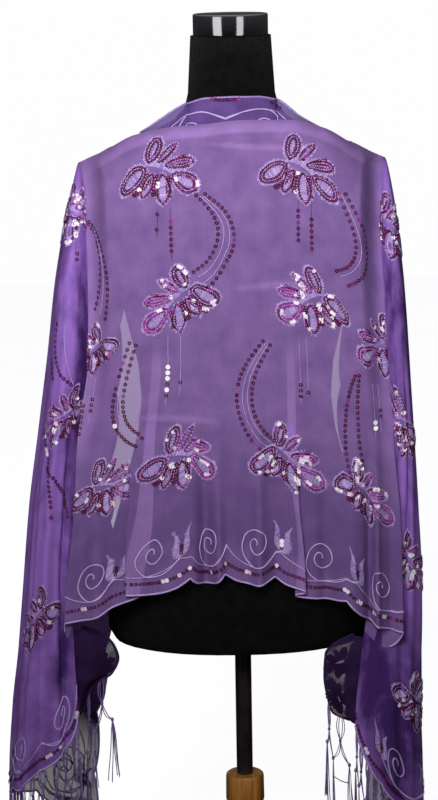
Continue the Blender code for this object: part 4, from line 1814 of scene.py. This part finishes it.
@dataclass(frozen=True)
class SheerMesh(Finish):
    """Fine-ribbed sheer tulle: what lies behind shows through, darker in the gaps between its ribs."""

    name: str = "sheer ribbed tulle"
    roughness: float = 0.55
    pale: str = "#8A6BA3"
    deep: str = "#71568F"
    # The real ribs are 1.8 mm apart, drawn at twice that to show at the photograph's size
    rib: float = 0.0036
    cover: float = 0.86
    # How strongly painted shade in long streaks, standing for folds, darkens the cloth, and how uneven its
    # cover is
    streaks: float = 0.0
    patches: float = 0.10
    # How much paler the cloth is painted where it lies folded onto itself and where painted light is given,
    # and how much painted shade darkens all of it
    lift: float = 0.35
    shadow: float = 0.0
    bright: str = "#9470C0"

    def paint(self, add: Adder, shader: Node) -> None:
        """Adds ribs that run down the cloth, with cover and colour that vary a little.

        Args:
            add: Adds a node to the material.
            shader: The material's shader.
        """
        cloth = add("TexCoord", output="UV")
        doubled = add("Attribute", attribute_name="doubled", output="Fac")
        slow = add("TexNoise", cloth, Scale=1 / 0.030, Detail=3)
        fine = add("TexNoise", cloth, Scale=1 / 0.0035, Detail=3)
        across = add("SeparateXYZ", cloth, output="X")
        wave = add("Math", weighted(add, 0, (across, 2 * math.pi / self.rib)), operation="SINE")
        grain = weighted(add, 0.25, (fine, 0.5), (wave, 0.25))
        # Painted light and shade: darker all over by the shadow, paler by the lift where the cloth is folded
        # or painted lighter
        shade = weighted(add, -self.shadow, (slow, 0.8), (grain, 0.16), (doubled, self.lift))
        # Painted shade of long folds, from a noise drawn out down the cloth
        if self.streaks:
            long = add("Mapping", cloth, Scale=(1.0, 0.22, 1.0))
            fold = add("TexNoise", long, Scale=1 / 0.05, Detail=3)
            shade = weighted(add, -self.streaks / 2, (fold, self.streaks), (shade, 1))
        closed = add("Math", weighted(add, 0, (doubled, 4)), 1, operation="MINIMUM")
        more = add("Math", closed, doubled, operation="MAXIMUM")
        least = self.cover - self.patches / 2 - 0.025
        fill(
            shader,
            Base_Color=add("ValToRGB", shade, stops={0.25: self.deep, 0.8: self.pale, 1.0: self.bright}),
            Alpha=weighted(add, least, (slow, self.patches), (grain, 0.05), (more, 0.15)),
            Specular_IOR_Level=0.05,
            Normal=add("Bump", Distance=0.00015, Height=grain),
        )


@dataclass(frozen=True)
class Grained(Finish):
    """A finish with one grain, which colours it, wears its gloss and stands up a little."""

    # Its hex colours by their values, its grain's size in metres and how that is drawn out
    stops: dict = field(default_factory=dict)
    grain: float = 0.001
    stretch: tuple[float, float, float] = (1.0, 1.0, 1.0)
    # How much the grain shifts the tone that each small piece has of its own, if they have one
    toned: float | None = None
    # How much the grain changes the roughness, how deep it is in metres, and the shader's other sockets
    worn: float = 0.0
    bumps: float = 0.0
    sockets: dict = field(default_factory=dict)

    def paint(self, add: Adder, shader: Node) -> None:
        """Adds the grain, and the tone if there is one.

        Args:
            add: Adds a node to the material.
            shader: The material's shader.
        """
        at = add("Mapping", add("TexCoord", output="Object"), Scale=self.stretch)
        grain = shade = add("TexNoise", at, Scale=1 / self.grain, Detail=3)
        if self.toned is not None:
            tone = add("Attribute", attribute_name="tone", output="Fac")
            shade = weighted(add, -self.toned / 2, (grain, self.toned), (tone, 1))
        fill(shader, Base_Color=add("ValToRGB", shade, stops=self.stops), **self.sockets)
        if self.worn:
            fill(shader, Roughness=weighted(add, self.roughness - self.worn / 2, (grain, self.worn)))
        if self.bumps:
            fill(shader, Normal=add("Bump", Distance=self.bumps, Height=grain))


# A soft shine along the stitches, each with its own tone
SATIN_THREAD = Grained(
    "pale satin thread", 0.42,
    {0.0: "#2C1D3C", 0.2: "#5E4485", 0.45: "#8F76B8", 0.8: "#C4AAE0", 1.0: "#DCC8F0"},
    grain=0.0016, toned=0.3, bumps=0.0003, sockets={"Coat_Weight": 0.15},
)
# Dark plum, with a painted magenta reflection and painted pink and white glints on the sequins whose tones
# are set for them, and slight wear
SEQUIN_FILM = Grained(
    "metallised plum film", 0.24,
    {0.0: "#45102F", 0.3: "#651E4C", 0.5: "#8E2F94", 0.72: "#D774BE", 0.9: "#FFF8FE"},
    grain=0.0012, toned=0.0, worn=0.2, sockets={"Metallic": 0.15, "Specular_IOR_Level": 0.2},
)
# Matt and slightly fuzzy, each strand its own shade, with a twisted grain
FRINGE_YARN = Grained(
    "spun lilac yarn", 0.7, {0.0: "#3B2650", 0.5: "#6C4E8E", 1.0: "#9F86C0"},
    grain=0.0022, toned=0.5, bumps=0.0005,
)
# A mirror with faint hairlines that run round it
CHROME = Grained(
    "polished chrome plate", 0.09, {0.3: "#C9CACD", 0.7: "#DCDDE0"},
    grain=0.02, stretch=(1.0, 1.0, 30.0), worn=0.1, sockets={"Metallic": 1.0},
)
# A faint mottle, lit from below so that it blends with the white backdrop
PAPER = Grained(
    "matt white paper", 0.9, {0.3: "#EDEDED", 0.7: "#F4F4F4"},
    grain=0.3, sockets={"Emission_Color": linear("#F8F8F8"), "Emission_Strength": 0.85},
)


@dataclass(frozen=True)
class BlackJersey(Finish):
    """Stretch jersey over padding: matt black, with a knit that only shows in the light."""

    name: str = "black cotton jersey"
    roughness: float = 0.85
    # The real knit is about 0.9 mm a stitch, drawn at 2.6 mm to show at the photograph's size
    stitch: float = 0.0026

    def paint(self, add: Adder, shader: Node) -> None:
        """Adds columns of knit, a little lint and soft wear.

        Args:
            add: Adds a node to the material.
            shader: The material's shader.
        """
        at = add("TexCoord", output="Object")
        knit = 1
        for axis in "XZ":
            turns = weighted(add, 0, (add("SeparateXYZ", at, output=axis), 2 * math.pi / self.stitch))
            knit = add("Math", add("Math", turns, operation="SINE"), knit, operation="MULTIPLY")
        shade = weighted(add, 0, (knit, 0.12), (add("TexNoise", at, Scale=1 / 0.012, Detail=3), 1))
        fill(
            shader,
            Base_Color=add("ValToRGB", shade, stops={0.35: "#0A0A0B", 0.75: "#131314"}),
            Sheen_Weight=0.02,
            Specular_IOR_Level=0.15,
            Normal=add("Bump", Distance=0.0005, Height=knit),
        )


@dataclass(frozen=True)
class BlackEnamel(Finish):
    """Stoved enamel on a steel tube: glossy, with a very slight orange peel."""

    name: str = "stoved black enamel"
    roughness: float = 0.22

    def paint(self, add: Adder, shader: Node) -> None:
        """Adds orange peel and faint rubbing.

        Args:
            add: Adds a node to the material.
            shader: The material's shader.
        """
        at = add("TexCoord", output="Object")
        peel = add("TexNoise", at, Scale=1 / 0.004, Detail=3)
        rub = add("TexNoise", at, Scale=1 / 0.03, Detail=3)
        fill(
            shader,
            Base_Color=add("ValToRGB", rub, stops={0.35: "#171312", 0.7: "#2A2422"}),
            Roughness=weighted(add, self.roughness - 0.07, (rub, 0.15)),
            Normal=add("Bump", Distance=0.00006, Height=peel),
        )


@dataclass(frozen=True)
class WaxedBeech(Finish):
    """Stained and waxed beech: brown, with long grain and short dark flecks."""

    name: str = "stained waxed beech"
    roughness: float = 0.38
    stretch: tuple[float, float, float] = (1.0, 1.0, 0.06)

    def paint(self, add: Adder, shader: Node) -> None:
        """Adds grain about 4 mm wide that runs up the wood, and flecks about 1 mm wide.

        Args:
            add: Adds a node to the material.
            shader: The material's shader.
        """
        at = add("Mapping", add("TexCoord", output="Object"), Scale=self.stretch)
        grain = add("TexNoise", at, Scale=1 / 0.006, Detail=3, Distortion=0.6)
        fleck = add("TexNoise", at, Scale=1 / 0.0012, Detail=3)
        shade = weighted(add, 0, (grain, 0.7), (fleck, 0.3))
        fill(
            shader,
            Base_Color=add("ValToRGB", shade, stops={0.32: "#73461A", 0.5: "#A8702F", 0.68: "#CE9044"}),
            Coat_Weight=0.25,
            Roughness=weighted(add, self.roughness - 0.1, (fleck, 0.2)),
            Normal=add("Bump", Distance=0.0002, Height=fleck),
        )


def dress(piece: Piece, slot: Slot, *nodes: str) -> Piece:
    """Puts a finished piece on the frame.

    Args:
        piece: The piece.
        slot: The material slot for it, which is not used.
        nodes: The CAD nodes that it stands for.

    Returns:
        The piece.
    """
    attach(piece, "root")
    if nodes:
        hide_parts(*nodes)
    log.info("%s: %d faces", piece.name, len(piece.data.polygons))
    return piece


def merged_copy(node: str, name: str, finish: Material, sharp: float) -> Piece:
    """Copies a CAD node's mesh with its loose triangles joined.

    Args:
        node: The CAD node's name.
        name: The new piece's name.
        finish: Its material.
        sharp: The angle in degrees from which its edges stay sharp.

    Returns:
        The new piece.
    """
    bm = bmesh.new()
    bm.from_mesh(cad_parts[node].data)
    bmesh.ops.remove_doubles(bm, verts=bm.verts, dist=1e-5)
    return to_piece(bm, name, finish, sharp)


def measured(node: str) -> tuple[Vector, Vector, float]:
    """Measures a round upright node.

    Args:
        node: Its name.

    Returns:
        The low and the high point of its axis, and its radius.
    """
    low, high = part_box(node)
    middle = (low + high) / 2
    return Vector((*middle.xy, low.z)), Vector((*middle.xy, high.z)), (high.x - low.x) / 2


def spun(name: str, profile: Sequence[tuple], axis: Vector, sides: int, finish: Material) -> Piece:
    """Turns a profile round an upright axis.

    Args:
        name: The piece's name.
        profile: Its rows, as heights and radii.
        axis: A point on the axis.
        sides: How many sides the turning has.
        finish: The piece's material.

    Returns:
        The piece.
    """
    bm = bmesh.new()
    rows = [(profile[0][0], 0.0), *profile, (profile[-1][0], 0.0)]
    line = [bm.verts.new((axis.x + radius, axis.y, height)) for height, radius in rows]
    for before, after in zip(line, line[1:]):
        bm.edges.new((before, after))
    bmesh.ops.spin(
        bm, geom=[*bm.verts, *bm.edges], cent=(axis.x, axis.y, 0), axis=(0, 0, 1),
        angle=2 * math.pi, steps=sides, use_merge=True,
    )
    bmesh.ops.remove_doubles(bm, verts=bm.verts, dist=1e-6)
    bmesh.ops.recalc_face_normals(bm, faces=bm.faces)
    return to_piece(bm, name, finish, 40)


@dataclass
class DressForm:
    """The limbless torso in its jersey cover, and the chrome cap on its neck."""

    cap_edge: float = 0.0022
    cap_sides: int = 96

    def build(self) -> None:
        """Builds the form and its cap."""
        body = merged_copy("form_body", "torso_in_jersey", BlackJersey().material(), 50)
        dress(body, Slot.FORM, "form_body")
        low, high, radius = measured("neck_cap")
        edge = self.cap_edge
        # Up from the foot, round the top edge, and over the top with its sunk middle
        rows = [(low.z + up, radius - back) for up, back in ((0, 0.0012), (0.0006, 0.0003), (0.0014, 0))]
        for turn in np.linspace(0, math.pi / 2, 6):
            rows.append((high.z - edge * (1 - math.sin(turn)), radius - edge * (1 - math.cos(turn))))
        rows += [(high.z - dip, radius * share) for dip, share in ((0, 0.80), (0.0004, 0.785), (0.0004, 0.2))]
        cap = spun("chrome_neck_cap", rows, low, self.cap_sides, CHROME.material())
        dress(cap, Slot.CAP, "neck_cap")


# The hub's turned profile: shares of its height and of its widest radius
HUB = (
    (0.000, 0.684), (0.008, 0.840), (0.020, 0.910), (0.056, 0.985), (0.090, 1.000), (0.440, 1.000),
    (0.480, 0.985), (0.560, 0.926), (0.640, 0.840), (0.674, 0.763), (0.700, 0.722), (0.730, 0.711),
    (0.748, 0.740), (0.766, 0.779), (0.790, 0.789), (0.812, 0.768), (0.826, 0.700), (0.838, 0.655),
    (0.846, 0.653), (0.854, 0.685), (0.862, 0.690), (0.985, 0.679), (0.994, 0.660), (1.000, 0.618),
)


@dataclass
class Stand:
    """The enamelled pole, the turned hub and the three legs."""

    sides: int = 72
    legs: int = 3
    softened: float = 0.0016
    # How a leg's grain is drawn out, which leans with its curve
    grain: tuple[float, float, float] = (0.25, 0.25, 0.5)

    def build(self) -> None:
        """Builds the pole, the hub and the legs."""
        low, high, radius = measured("stand_pole")
        rows = ((low.z, radius), (high.z, radius))
        pole = spun("enamelled_pole", rows, low, self.sides, BlackEnamel().material())
        dress(pole, Slot.POLE, "stand_pole")
        base, top, radius = measured("stand_hub")
        rows = [(base.z + up * (top.z - base.z), out * radius) for up, out in HUB]
        hub = spun("turned_hub", rows, low, self.sides, WaxedBeech().material())
        dress(hub, Slot.WOOD, "stand_hub")
        for number in range(1, self.legs + 1):
            self.leg(number)

    def leg(self, number: int) -> None:
        """Builds a leg with softened edges, with its grain along its length.

        Args:
            number: The leg's number.
        """
        finish = WaxedBeech("stained beech leg", 0.38, self.grain).material()
        leg = merged_copy(f"stand_leg_{number}", f"curved_leg_{number}", finish, 40)
        bevel = leg.modifiers.new("softened edges", "BEVEL")
        bevel.width, bevel.segments = self.softened, 2
        bevel.limit_method, bevel.angle_limit = "ANGLE", math.radians(50)
        dress(leg, Slot.WOOD, f"stand_leg_{number}")


@dataclass
class KnottedFringe:
    """A fringe along an edge: looped strands into knots, a lattice of ties, then loose strands."""

    length: float = 0.168
    pitch: float = 0.021
    rows: tuple[float, float] = (0.030, 0.062)
    strand: float = 0.0014
    strands: int = 7
    seed: int = 4

    def build(self, name: str, line: Array, away: Array) -> Piece:
        """Builds the fringe.

        Args:
            name: The piece's name.
            line: The edge's points.
            away: The cloth's outward direction at each point, level.

        Returns:
            The piece.
        """
        rng = np.random.default_rng(self.seed)
        work = Needlework()
        shape, faces = self.knot_shape()
        far = lengths(line)
        count = max(int(far[-1] / self.pitch), 2)
        steps = np.linspace(0, 1, 7)[:, None]
        down = np.array([0.0, 0.0, -1.0])

        def at(distance: float, drop: float) -> Array:
            """Returns a point below the edge."""
            return sampled(line, far, distance) + drop * down

        def strand(start: Array, end: Array, bend: Array) -> None:
            """Adds one strand that bends between its ends."""
            points = start + steps * (end - start) + np.sin(math.pi * steps) * bend
            work.tube(points, np.tile(out, (len(points), 1)), self.strand, self.strand * 0.8, tone)

        def knot(point: Array, size: float) -> None:
            """Adds one knot."""
            work.add(shape * size + point, faces, np.full(len(shape), tone))

        def tassel(top: Array) -> None:
            """Adds the loose strands below a knot, each with its own slight sway.

            Args:
                top: The knot's place.
            """
            share = np.linspace(0, 1, 8)[:, None]
            for _ in range(self.strands):
                reach = (self.length - self.rows[1]) * (0.90 + 0.10 * rng.random())
                aside = edge * rng.normal(0, 0.0045) + out * rng.normal(0, 0.0018)
                sway = edge * 0.0016 * np.sin(rng.uniform(0, 2 * math.pi) + 5 * share) * share
                points = top + share**0.7 * aside + sway + share * reach * down
                shade = float(np.clip(tone + rng.normal(0, 0.15), 0, 1))
                normals = np.tile(out, (len(points), 1))
                work.tube(points, normals, self.strand * 0.9, self.strand * 0.7, shade)

        for i in range(count):
            here, there = ((i + k) * far[-1] / count for k in (0.5, 1))
            tone = 0.35 + 0.4 * rng.random()
            out = unit(sampled(away, far, here))
            first = at(here + rng.normal(0, 0.0008), self.rows[0] + rng.normal(0, 0.0015))
            edge = unit(at(here + 0.002, 0) - at(here - 0.002, 0))
            for side in (-1.0, -0.45, 0.45, 1.0):
                start = at(np.clip(here + side * 0.0032, 0, far[-1]), -0.0015)
                strand(start, first, side * 0.0042 * edge)
            knot(first, 1.0)
            for way in (-1, 1):
                second = at(np.clip((i + 0.5 + way * 0.5) * far[-1] / count, 0, far[-1]), self.rows[1])
                for lane in (-0.5, 0.5):
                    strand(first, second, (lane * 0.003 - way * 0.002) * edge + 0.003 * down)
            for distance in (there,) if i else (0.0, there):
                second = at(distance, self.rows[1])
                out = unit(sampled(away, far, distance))
                knot(second, 1.1)
                tassel(second)
            if i:
                drop = self.rows[1] + rng.uniform(0.004, 0.030)
                strand(at(there - far[-1] / count, drop), at(there, drop), 0.002 * down)
        return work.to_object(name, FRINGE_YARN.material())

    @staticmethod
    def knot_shape() -> tuple[Array, Array]:
        """Makes a knot, a small cube with worn edges.

        Returns:
            Its points and faces.
        """
        bm = bmesh.new()
        bmesh.ops.create_cube(bm, size=0.0036)
        bmesh.ops.bevel(
            bm, geom=bm.edges, offset=0.0010, offset_type="OFFSET", affect="EDGES", segments=1,
            profile=0.5, material=-1,
        )
        bmesh.ops.scale(bm, vec=(1.0, 0.9, 1.35), verts=bm.verts)
        bm.verts.index_update()
        points = np.array([v.co[:] for v in bm.verts])
        faces = [[v.index for v in f.verts] for f in bm.faces]
        bm.free()
        return points, np.array([f if len(f) == 4 else [*f, f[-1]] for f in faces])


SINGLE = SheerMesh()
# The border behind the neck is two thicknesses in the neck's shade
BORDER = SheerMesh("doubled ribbed tulle", pale="#6C5290", deep="#513A74", cover=0.93)
# The ends hang in close folds that lie over each other, so less shows through them; their colours are darker,
# with painted shade all over, in fold streaks and in spots, and paler where they lie folded onto themselves
GATHERED = SheerMesh(
    "gathered tulle in painted shade", pale="#8E66B8", deep="#412660", bright="#8E66B8", streaks=1.4, lift=0.70,
    shadow=0.40,
)
# The turned-in corners: the same tulle painted dark for the shade that they hang in
SHADED = SheerMesh(
    "turned tulle in painted shade", 0.60, pale="#3A2450", deep="#1F132C", cover=0.93, patches=0.45, lift=0.0
)

@dataclass(frozen=True)
class Stretch:
    """How one stretch of cloth is finished and what is sewn onto it."""

    finish: SheerMesh
    flat: tuple[float, float]
    edges: tuple[Edge, ...] = (Edge.FINISH, Edge.HEM)
    # The shares of its edges that are corded, the cord's tone, which is 0 where the cord is painted dark as
    # shade, and how pale threads look there, 0 where they are painted dark as shade
    corded: tuple[float, float] = (0.0, 1.0)
    cord_tone: float = 0.72
    light: float = 1.0
    lobes: tuple[Lobe, ...] = ()
    # Places in pixels of the photograph's frame
    flowers: tuple[Spot, ...] = ()
    # Places that don't show, as shares of the cloth
    hidden_flowers: tuple[Spot, ...] = ()
    arcs: tuple[Arc, ...] = ()
    drops: tuple[Drop, ...] = ()
    # The CAD node of its fringe, the edge that it is knotted on, where it starts there and its length
    fringe: tuple[str, Edge, float, float] | None = None


def rim_lobes(first: float, curl: float) -> tuple[Lobe, ...]:
    """Sets the lobes along a hanging end's short edge and up its chest edge.

    Args:
        first: The share of the first one that lies off the cloth.
        curl: The place of the short edge's spirals, as a share of a lobe.

    Returns:
        The lobes.
    """
    lobes = []
    for k in range(5):
        start = (k - first) / RIM_LOBES
        curled, bud = curl * (start >= 0), start != 0
        lobes.append(Lobe(Edge.HEM, max(start, 0), start + 1 / RIM_LOBES, bud=bud, curl=curled))
    for k in range(11):
        lobes.append(Lobe(Edge.FINISH, 0.045 + 0.0865 * k, 0.045 + 0.0865 * (k + 1)))
    return tuple(lobes)


def chest_flowers(mirrored: bool) -> tuple[Spot, ...]:
    """Sets the flowers on an end's chest side.

    Args:
        mirrored: Whether the first and the last are mirrored.

    Returns:
        The three flowers.
    """
    first, second = mirrored, not mirrored
    return table(
        Spot, (0.64, 0.20, 0, 0.95, first, 0.15), (0.60, 0.47, 0, 0.95, second, 0.15),
        (0.64, 0.74, 0, 0.95, first, 0.15),
    )


STRETCHES = {
    "shawl_back_panel": Stretch(
        SINGLE, (0.50, 0.55), (Edge.HEM,),
        # Between its two tucks
        corded=(0.036, 0.930),
        lobes=(
            Lobe(Edge.HEM, 0.040, 0.157, curl=0.53),
            Lobe(Edge.HEM, 0.157, 0.328, curl=0.66),
            Lobe(Edge.HEM, 0.328, 0.445, bud=False, curl=0.54),
            Lobe(Edge.HEM, 0.445, 0.588, curl=0.48),
            Lobe(Edge.HEM, 0.588, 0.782, curl=0.58),
            Lobe(Edge.HEM, 0.782, 0.920, bud=False, curl=0.50),
            Lobe(Edge.HEM, 0.920, 1.000, bud=False),
        ),
        flowers=table(
            Spot,
            (160, 170, 0, 1.0, False, 0.03), (301, 168, 10, 1.0, False, 0.03),
            (178, 299, 4, 1.0, True, 0.16), (311, 300, 4, 1.0, True, 0.16),
            (180, 457, 8, 1.02, False, 0.18), (287, 457, 8, 1.0, False, 0.18),
            (95, 349, 0, 0.75, True, 0.08), (105, 487, 8, 0.92, False, 0.10),
            (383, 345, 0, 0.95, True, 0.10), (364, 492, 8, 0.95, False, 0.15),
        ),
        arcs=table(
            Arc,
            (196, 195, 194, 272, -0.030), (205, 194, 208, 287, -0.036), (200, 196, 197, 277, -0.033, 0),
            (203, 196, 203, 283, -0.035, 0), (337, 193, 336, 270, -0.030), (345, 194, 348, 285, -0.034),
            (341, 194, 340, 276, -0.032, 0), (263, 341, 264, 452, 0.034), (270, 345, 274, 440, 0.026),
            (266, 343, 268, 447, 0.031, 0), (268, 345, 271, 442, 0.028, 0), (130, 343, 136, 446, 0.030),
            (136, 345, 142, 438, 0.024), (133, 345, 139, 440, 0.027, 0), (356, 372, 350, 478, 0.014),
            (359, 375, 363, 466, 0.006), (86, 222, 96, 309, -0.022), (90, 222, 106, 319, -0.020),
            (88, 222, 101, 315, -0.021, 0),
        ),
        drops=table(
            Drop,
            (157, 208, 0.008, 1, 0.020, 0.0, 0.08), (157, 229, 0.001, 1, 0.009, 0.0, 0.08),
            (170, 208, 0.017, 6, 0.012, 0.0, 0.08), (298, 200, 0.013, 6, 0.004, 0.0, 0.08),
            (311, 200, 0.024, 6, 0.008, 0.0, 0.08), (168, 336, 0.040, 6, 0.012, 0.9, 0.90),
            (181, 336, 0.060, 1, 0.018, 0.5, 0.90), (299, 338, 0.060, 3, 0.010, 0.05, 0.75),
            (306, 338, 0.070, 1, 0.006, 0.1, 0.75), (88, 378, 0.036, 6, 0.010, 0.05, 0.80),
            (96, 378, 0.028, 3, 0.016, 0.05, 0.80), (372, 384, 0.050, 2, 0.012, 0.1, 0.70),
            (377, 384, 0.034, 2, 0.020, 0.1, 0.70),
        ),
    ),
    "shawl_collar": Stretch(
        BORDER, (0.24, 0.06), (Edge.TOP,), cord_tone=0.55,
        lobes=(
            Lobe(Edge.TOP, 0.14, 0.48, False, False, 0.74, sequins=False),
            Lobe(Edge.TOP, 0.48, 0.84, True, False, 0.74, sequins=False),
        ),
        arcs=table(Arc, (212, 99, 239, 99, 0.002, 0.0050), (271, 103, 280, 108, 0.001, 0.0050)),
    ),
    "shawl_left_end": Stretch(
        GATHERED, (0.42, 0.80),
        lobes=rim_lobes(0.0, 0.62),
        flowers=table(
            Spot, (71, 212, 0, 0.95, True, 0.3), (64, 416, 20, 0.85, False, 0.15),
            (36, 618, 10, 0.95, False, 0.06),
        ),
        hidden_flowers=chest_flowers(mirrored=True),
        arcs=table(
            Arc, (46, 440, 51, 517, 0.006), (48, 468, 68, 516, 0.008), (58, 324, 71, 384, -0.010),
            (52, 345, 54, 378, 0.002), (66, 324, 74, 384, -0.004, 0),
        ),
        drops=table(Drop, (78, 244, 0.012, 2, 0.004, 0.3, 0.60)),
        fringe=("fringe_left", Edge.HEM, 0.0, 0.168),
    ),
    "shawl_right_end": Stretch(
        GATHERED, (0.40, 0.80),
        lobes=rim_lobes(RIGHT_FIRST, 0.36),
        flowers=table(
            Spot, (388, 225, 0, 0.95, False, 0.10), (400, 420, 10, 0.95, True, 0.20),
            (408, 560, 0, 0.9, False, 0.20), (416, 702, 0, 0.95, False, 0.20),
        ),
        hidden_flowers=chest_flowers(mirrored=False),
        fringe=("fringe_right", Edge.HEM, 0.0, 0.168),
    ),
    # The light doesn't reach the corners, so their cords and threads are painted dark as shade
    "shawl_left_corner": Stretch(
        SHADED, (0.05, 0.11), cord_tone=0.0, light=0.0,
        hidden_flowers=table(Spot, (0.62, 0.45, 0, 0.45, False, 0.05)),
        fringe=("fringe_left_corner", Edge.FINISH, 0.60, 0.150),
    ),
    "shawl_right_corner": Stretch(
        SHADED, (0.05, 0.12), cord_tone=0.0, light=0.0,
        hidden_flowers=table(
            Spot, (0.60, 0.30, 0, 0.50, False, 0.05), (0.62, 0.72, 90, 0.45, False, 0.05)
        ),
        fringe=("fringe_right_corner", Edge.FINISH, 0.73, 0.150),
    ),
}


@dataclass
class Shawl:
    """The whole shawl: its stretches of cloth, their needlework and the fringes."""

    seed: int = 11

    def build(self) -> None:
        """Builds each stretch of cloth and sews it."""
        torso = Torso.read(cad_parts["form_body"], "neck_cap")
        left = HangingEnd(torso)
        right = HangingEnd(
            torso, turned=True, wraps=RIGHT_WRAPS, pegs=RIGHT_PEGS, rim=RIGHT_RIM, creases=RIGHT_CREASES,
            hollows=RIGHT_SHADE_SPOTS, first=RIGHT_FIRST,
        )
        panel = BackPanel(torso, left=left, right=right)
        left_corner = TurnedCorner(torso, end=left)
        right_corner = TurnedCorner(torso, turned=True, end=right, table=RIGHT_CORNER)
        drapes = (panel, Collar(torso, panel=panel), left, right, left_corner, right_corner)
        for (name, stretch), drape in zip(STRETCHES.items(), drapes):
            self.sew(name, stretch, drape.chart())

    def sew(self, name: str, stretch: Stretch, chart: Chart) -> None:
        """Builds one stretch of cloth with its needlework and fringe.

        Args:
            name: The CAD node that it stands for.
            stretch: How it is finished.
            chart: The draped cloth.
        """
        cloth = dress(chart.to_object(f"{name}_cloth", stretch.finish.material()), Slot.MESH, name)
        hand = Embroiderer(chart, np.random.default_rng(self.seed), stretch.light)
        for edge in stretch.edges:
            hand.edge_cord(edge, *stretch.corded, stretch.cord_tone)
        for lobe in stretch.lobes:
            hand.lobe(lobe)
        for spot in stretch.flowers:
            hand.flower(spot, chart.seen(spot.x, spot.y))
        for spot in stretch.hidden_flowers:
            hand.flower(spot, Share(spot.x, spot.y))
        for arc in stretch.arcs:
            hand.arc(arc)
        for drop in stretch.drops:
            hand.drop(drop)
        sewn = [dress(hand.thread.to_object(f"{name}_threads", SATIN_THREAD.material()), Slot.MESH)]
        if hand.sequins.points:
            sequins = hand.sequins.to_object(f"{name}_sequins", SEQUIN_FILM.material())
            sewn.append(dress(sequins, Slot.MESH))
        if stretch.fringe:
            sewn.append(self.fringe(chart, *stretch.fringe))

    def fringe(self, chart: Chart, node: str, edge: Edge, starts: float, length: float) -> Piece:
        """Knots a fringe onto an edge.

        Args:
            chart: The cloth.
            node: The CAD node that the fringe stands for.
            edge: The edge.
            starts: The share of the edge where it starts.
            length: The fringe's length.

        Returns:
            The fringe.
        """
        line, away = chart.edge(edge, chart.points), chart.edge(edge, chart.normals)
        first = int(starts * len(line))
        away = unit(away[first:] * np.array([1.0, 1.0, 0.0]))
        made = KnottedFringe(length).build(f"{node}_strands", line[first:], away)
        return dress(made, Slot.FRINGE, node)


class Lamp(NamedTuple):
    """A soft light: where it hangs, what it points at, its size, watts, spread in degrees and gloss."""

    name: str
    place: tuple[float, float, float]
    aim: tuple[float, float, float]
    wide: float
    tall: float
    power: float
    spread: float = 180.0
    glossy: bool = True


# Seen at a grazing angle, cloth would mirror the key light as a white patch, so that one isn't mirrored
LAMPS = table(
    Lamp,
    ("key", (-0.28, -1.75, 1.80), (0.0, -0.08, 1.25), 0.8, 0.6, 5.8, 66.0, False),
    ("left softbox", (-1.66, -1.95, 0.95), (0.0, -0.08, 0.95), 1.2, 1.5, 5.0),
    ("right softbox", (1.21, -2.27, 0.95), (0.0, -0.08, 0.95), 0.9, 1.5, 3.5),
)


@dataclass
class Studio:
    """The floor, the lights and the camera."""

    view: View = VIEW
    floor_size: float = 14.0

    def build(self) -> None:
        """Builds them all."""
        self.floor()
        self.world()
        for lamp in LAMPS:
            self.hang(lamp)
        self.camera()
        bpy.context.scene.view_settings.view_transform = "Standard"

    def floor(self) -> None:
        """Lays the floor."""
        bm = bmesh.new()
        bmesh.ops.create_grid(bm, x_segments=2, y_segments=2, size=self.floor_size / 2)
        floor = to_piece(bm, "studio_floor", PAPER.material())
        floor.visible_diffuse = False
        floor.visible_glossy = False

    def world(self) -> None:
        """Lights the room evenly and softly, with a white backdrop."""
        world = bpy.data.worlds.new("white studio")
        bpy.context.scene.world = world
        world.use_nodes = True
        add = partial(add_node, world.node_tree)
        soft = world.node_tree.nodes["Background"]
        height = add("SeparateXYZ", add("TexCoord", output="Generated"), output="Z")
        fall = add("MapRange", height, From_Min=-0.4, From_Max=0.9)
        stops = {0.0: "#1C1C1E", 0.35: "#4A4A4D", 1.0: "#BCBCC2"}
        fill(soft, Color=add("ValToRGB", fall, stops=stops), Strength=0.50)
        backdrop = add("Background", Color=(1, 1, 1, 1), Strength=0.99)
        shown = add("LightPath", output="Is Camera Ray")
        mix = add("MixShader", shown, soft.outputs[0], backdrop)
        fill(world.node_tree.nodes["World Output"], Surface=mix)

    @staticmethod
    def hang(lamp: Lamp) -> None:
        """Hangs a soft light.

        Args:
            lamp: The light.
        """
        data = bpy.data.lights.new(lamp.name, "AREA")
        data.shape, data.size, data.size_y = "RECTANGLE", lamp.wide, lamp.tall
        data.energy, data.spread = lamp.power, math.radians(lamp.spread)
        light = bpy.data.objects.new(lamp.name, data)
        light.location = lamp.place
        way = Vector(lamp.aim) - light.location
        light.rotation_euler = way.to_track_quat("-Z", "Y").to_euler()
        light.visible_glossy = lamp.glossy
        bpy.context.scene.collection.objects.link(light)

    def camera(self) -> None:
        """Stands the camera where the photograph was taken from."""
        data = bpy.data.cameras.new("camera")
        data.lens, data.sensor_width = self.view.lens, self.view.sensor
        right, up, ahead = self.view.axes()
        camera = bpy.data.objects.new("camera", data)
        turn = Matrix((right, up, -ahead)).transposed().to_4x4()
        camera.matrix_world = Matrix.Translation(self.view.place) @ turn
        bpy.context.scene.collection.objects.link(camera)
        bpy.context.scene.camera = camera


def main() -> None:
    """Builds the object and the studio."""
    logging.basicConfig(level=logging.INFO, format="%(name)s: %(message)s")
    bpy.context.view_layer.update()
    DressForm().build()
    Stand().build()
    Shawl().build()
    Studio().build()
    bpy.context.view_layer.update()


if __name__ == "__main__":
    main()
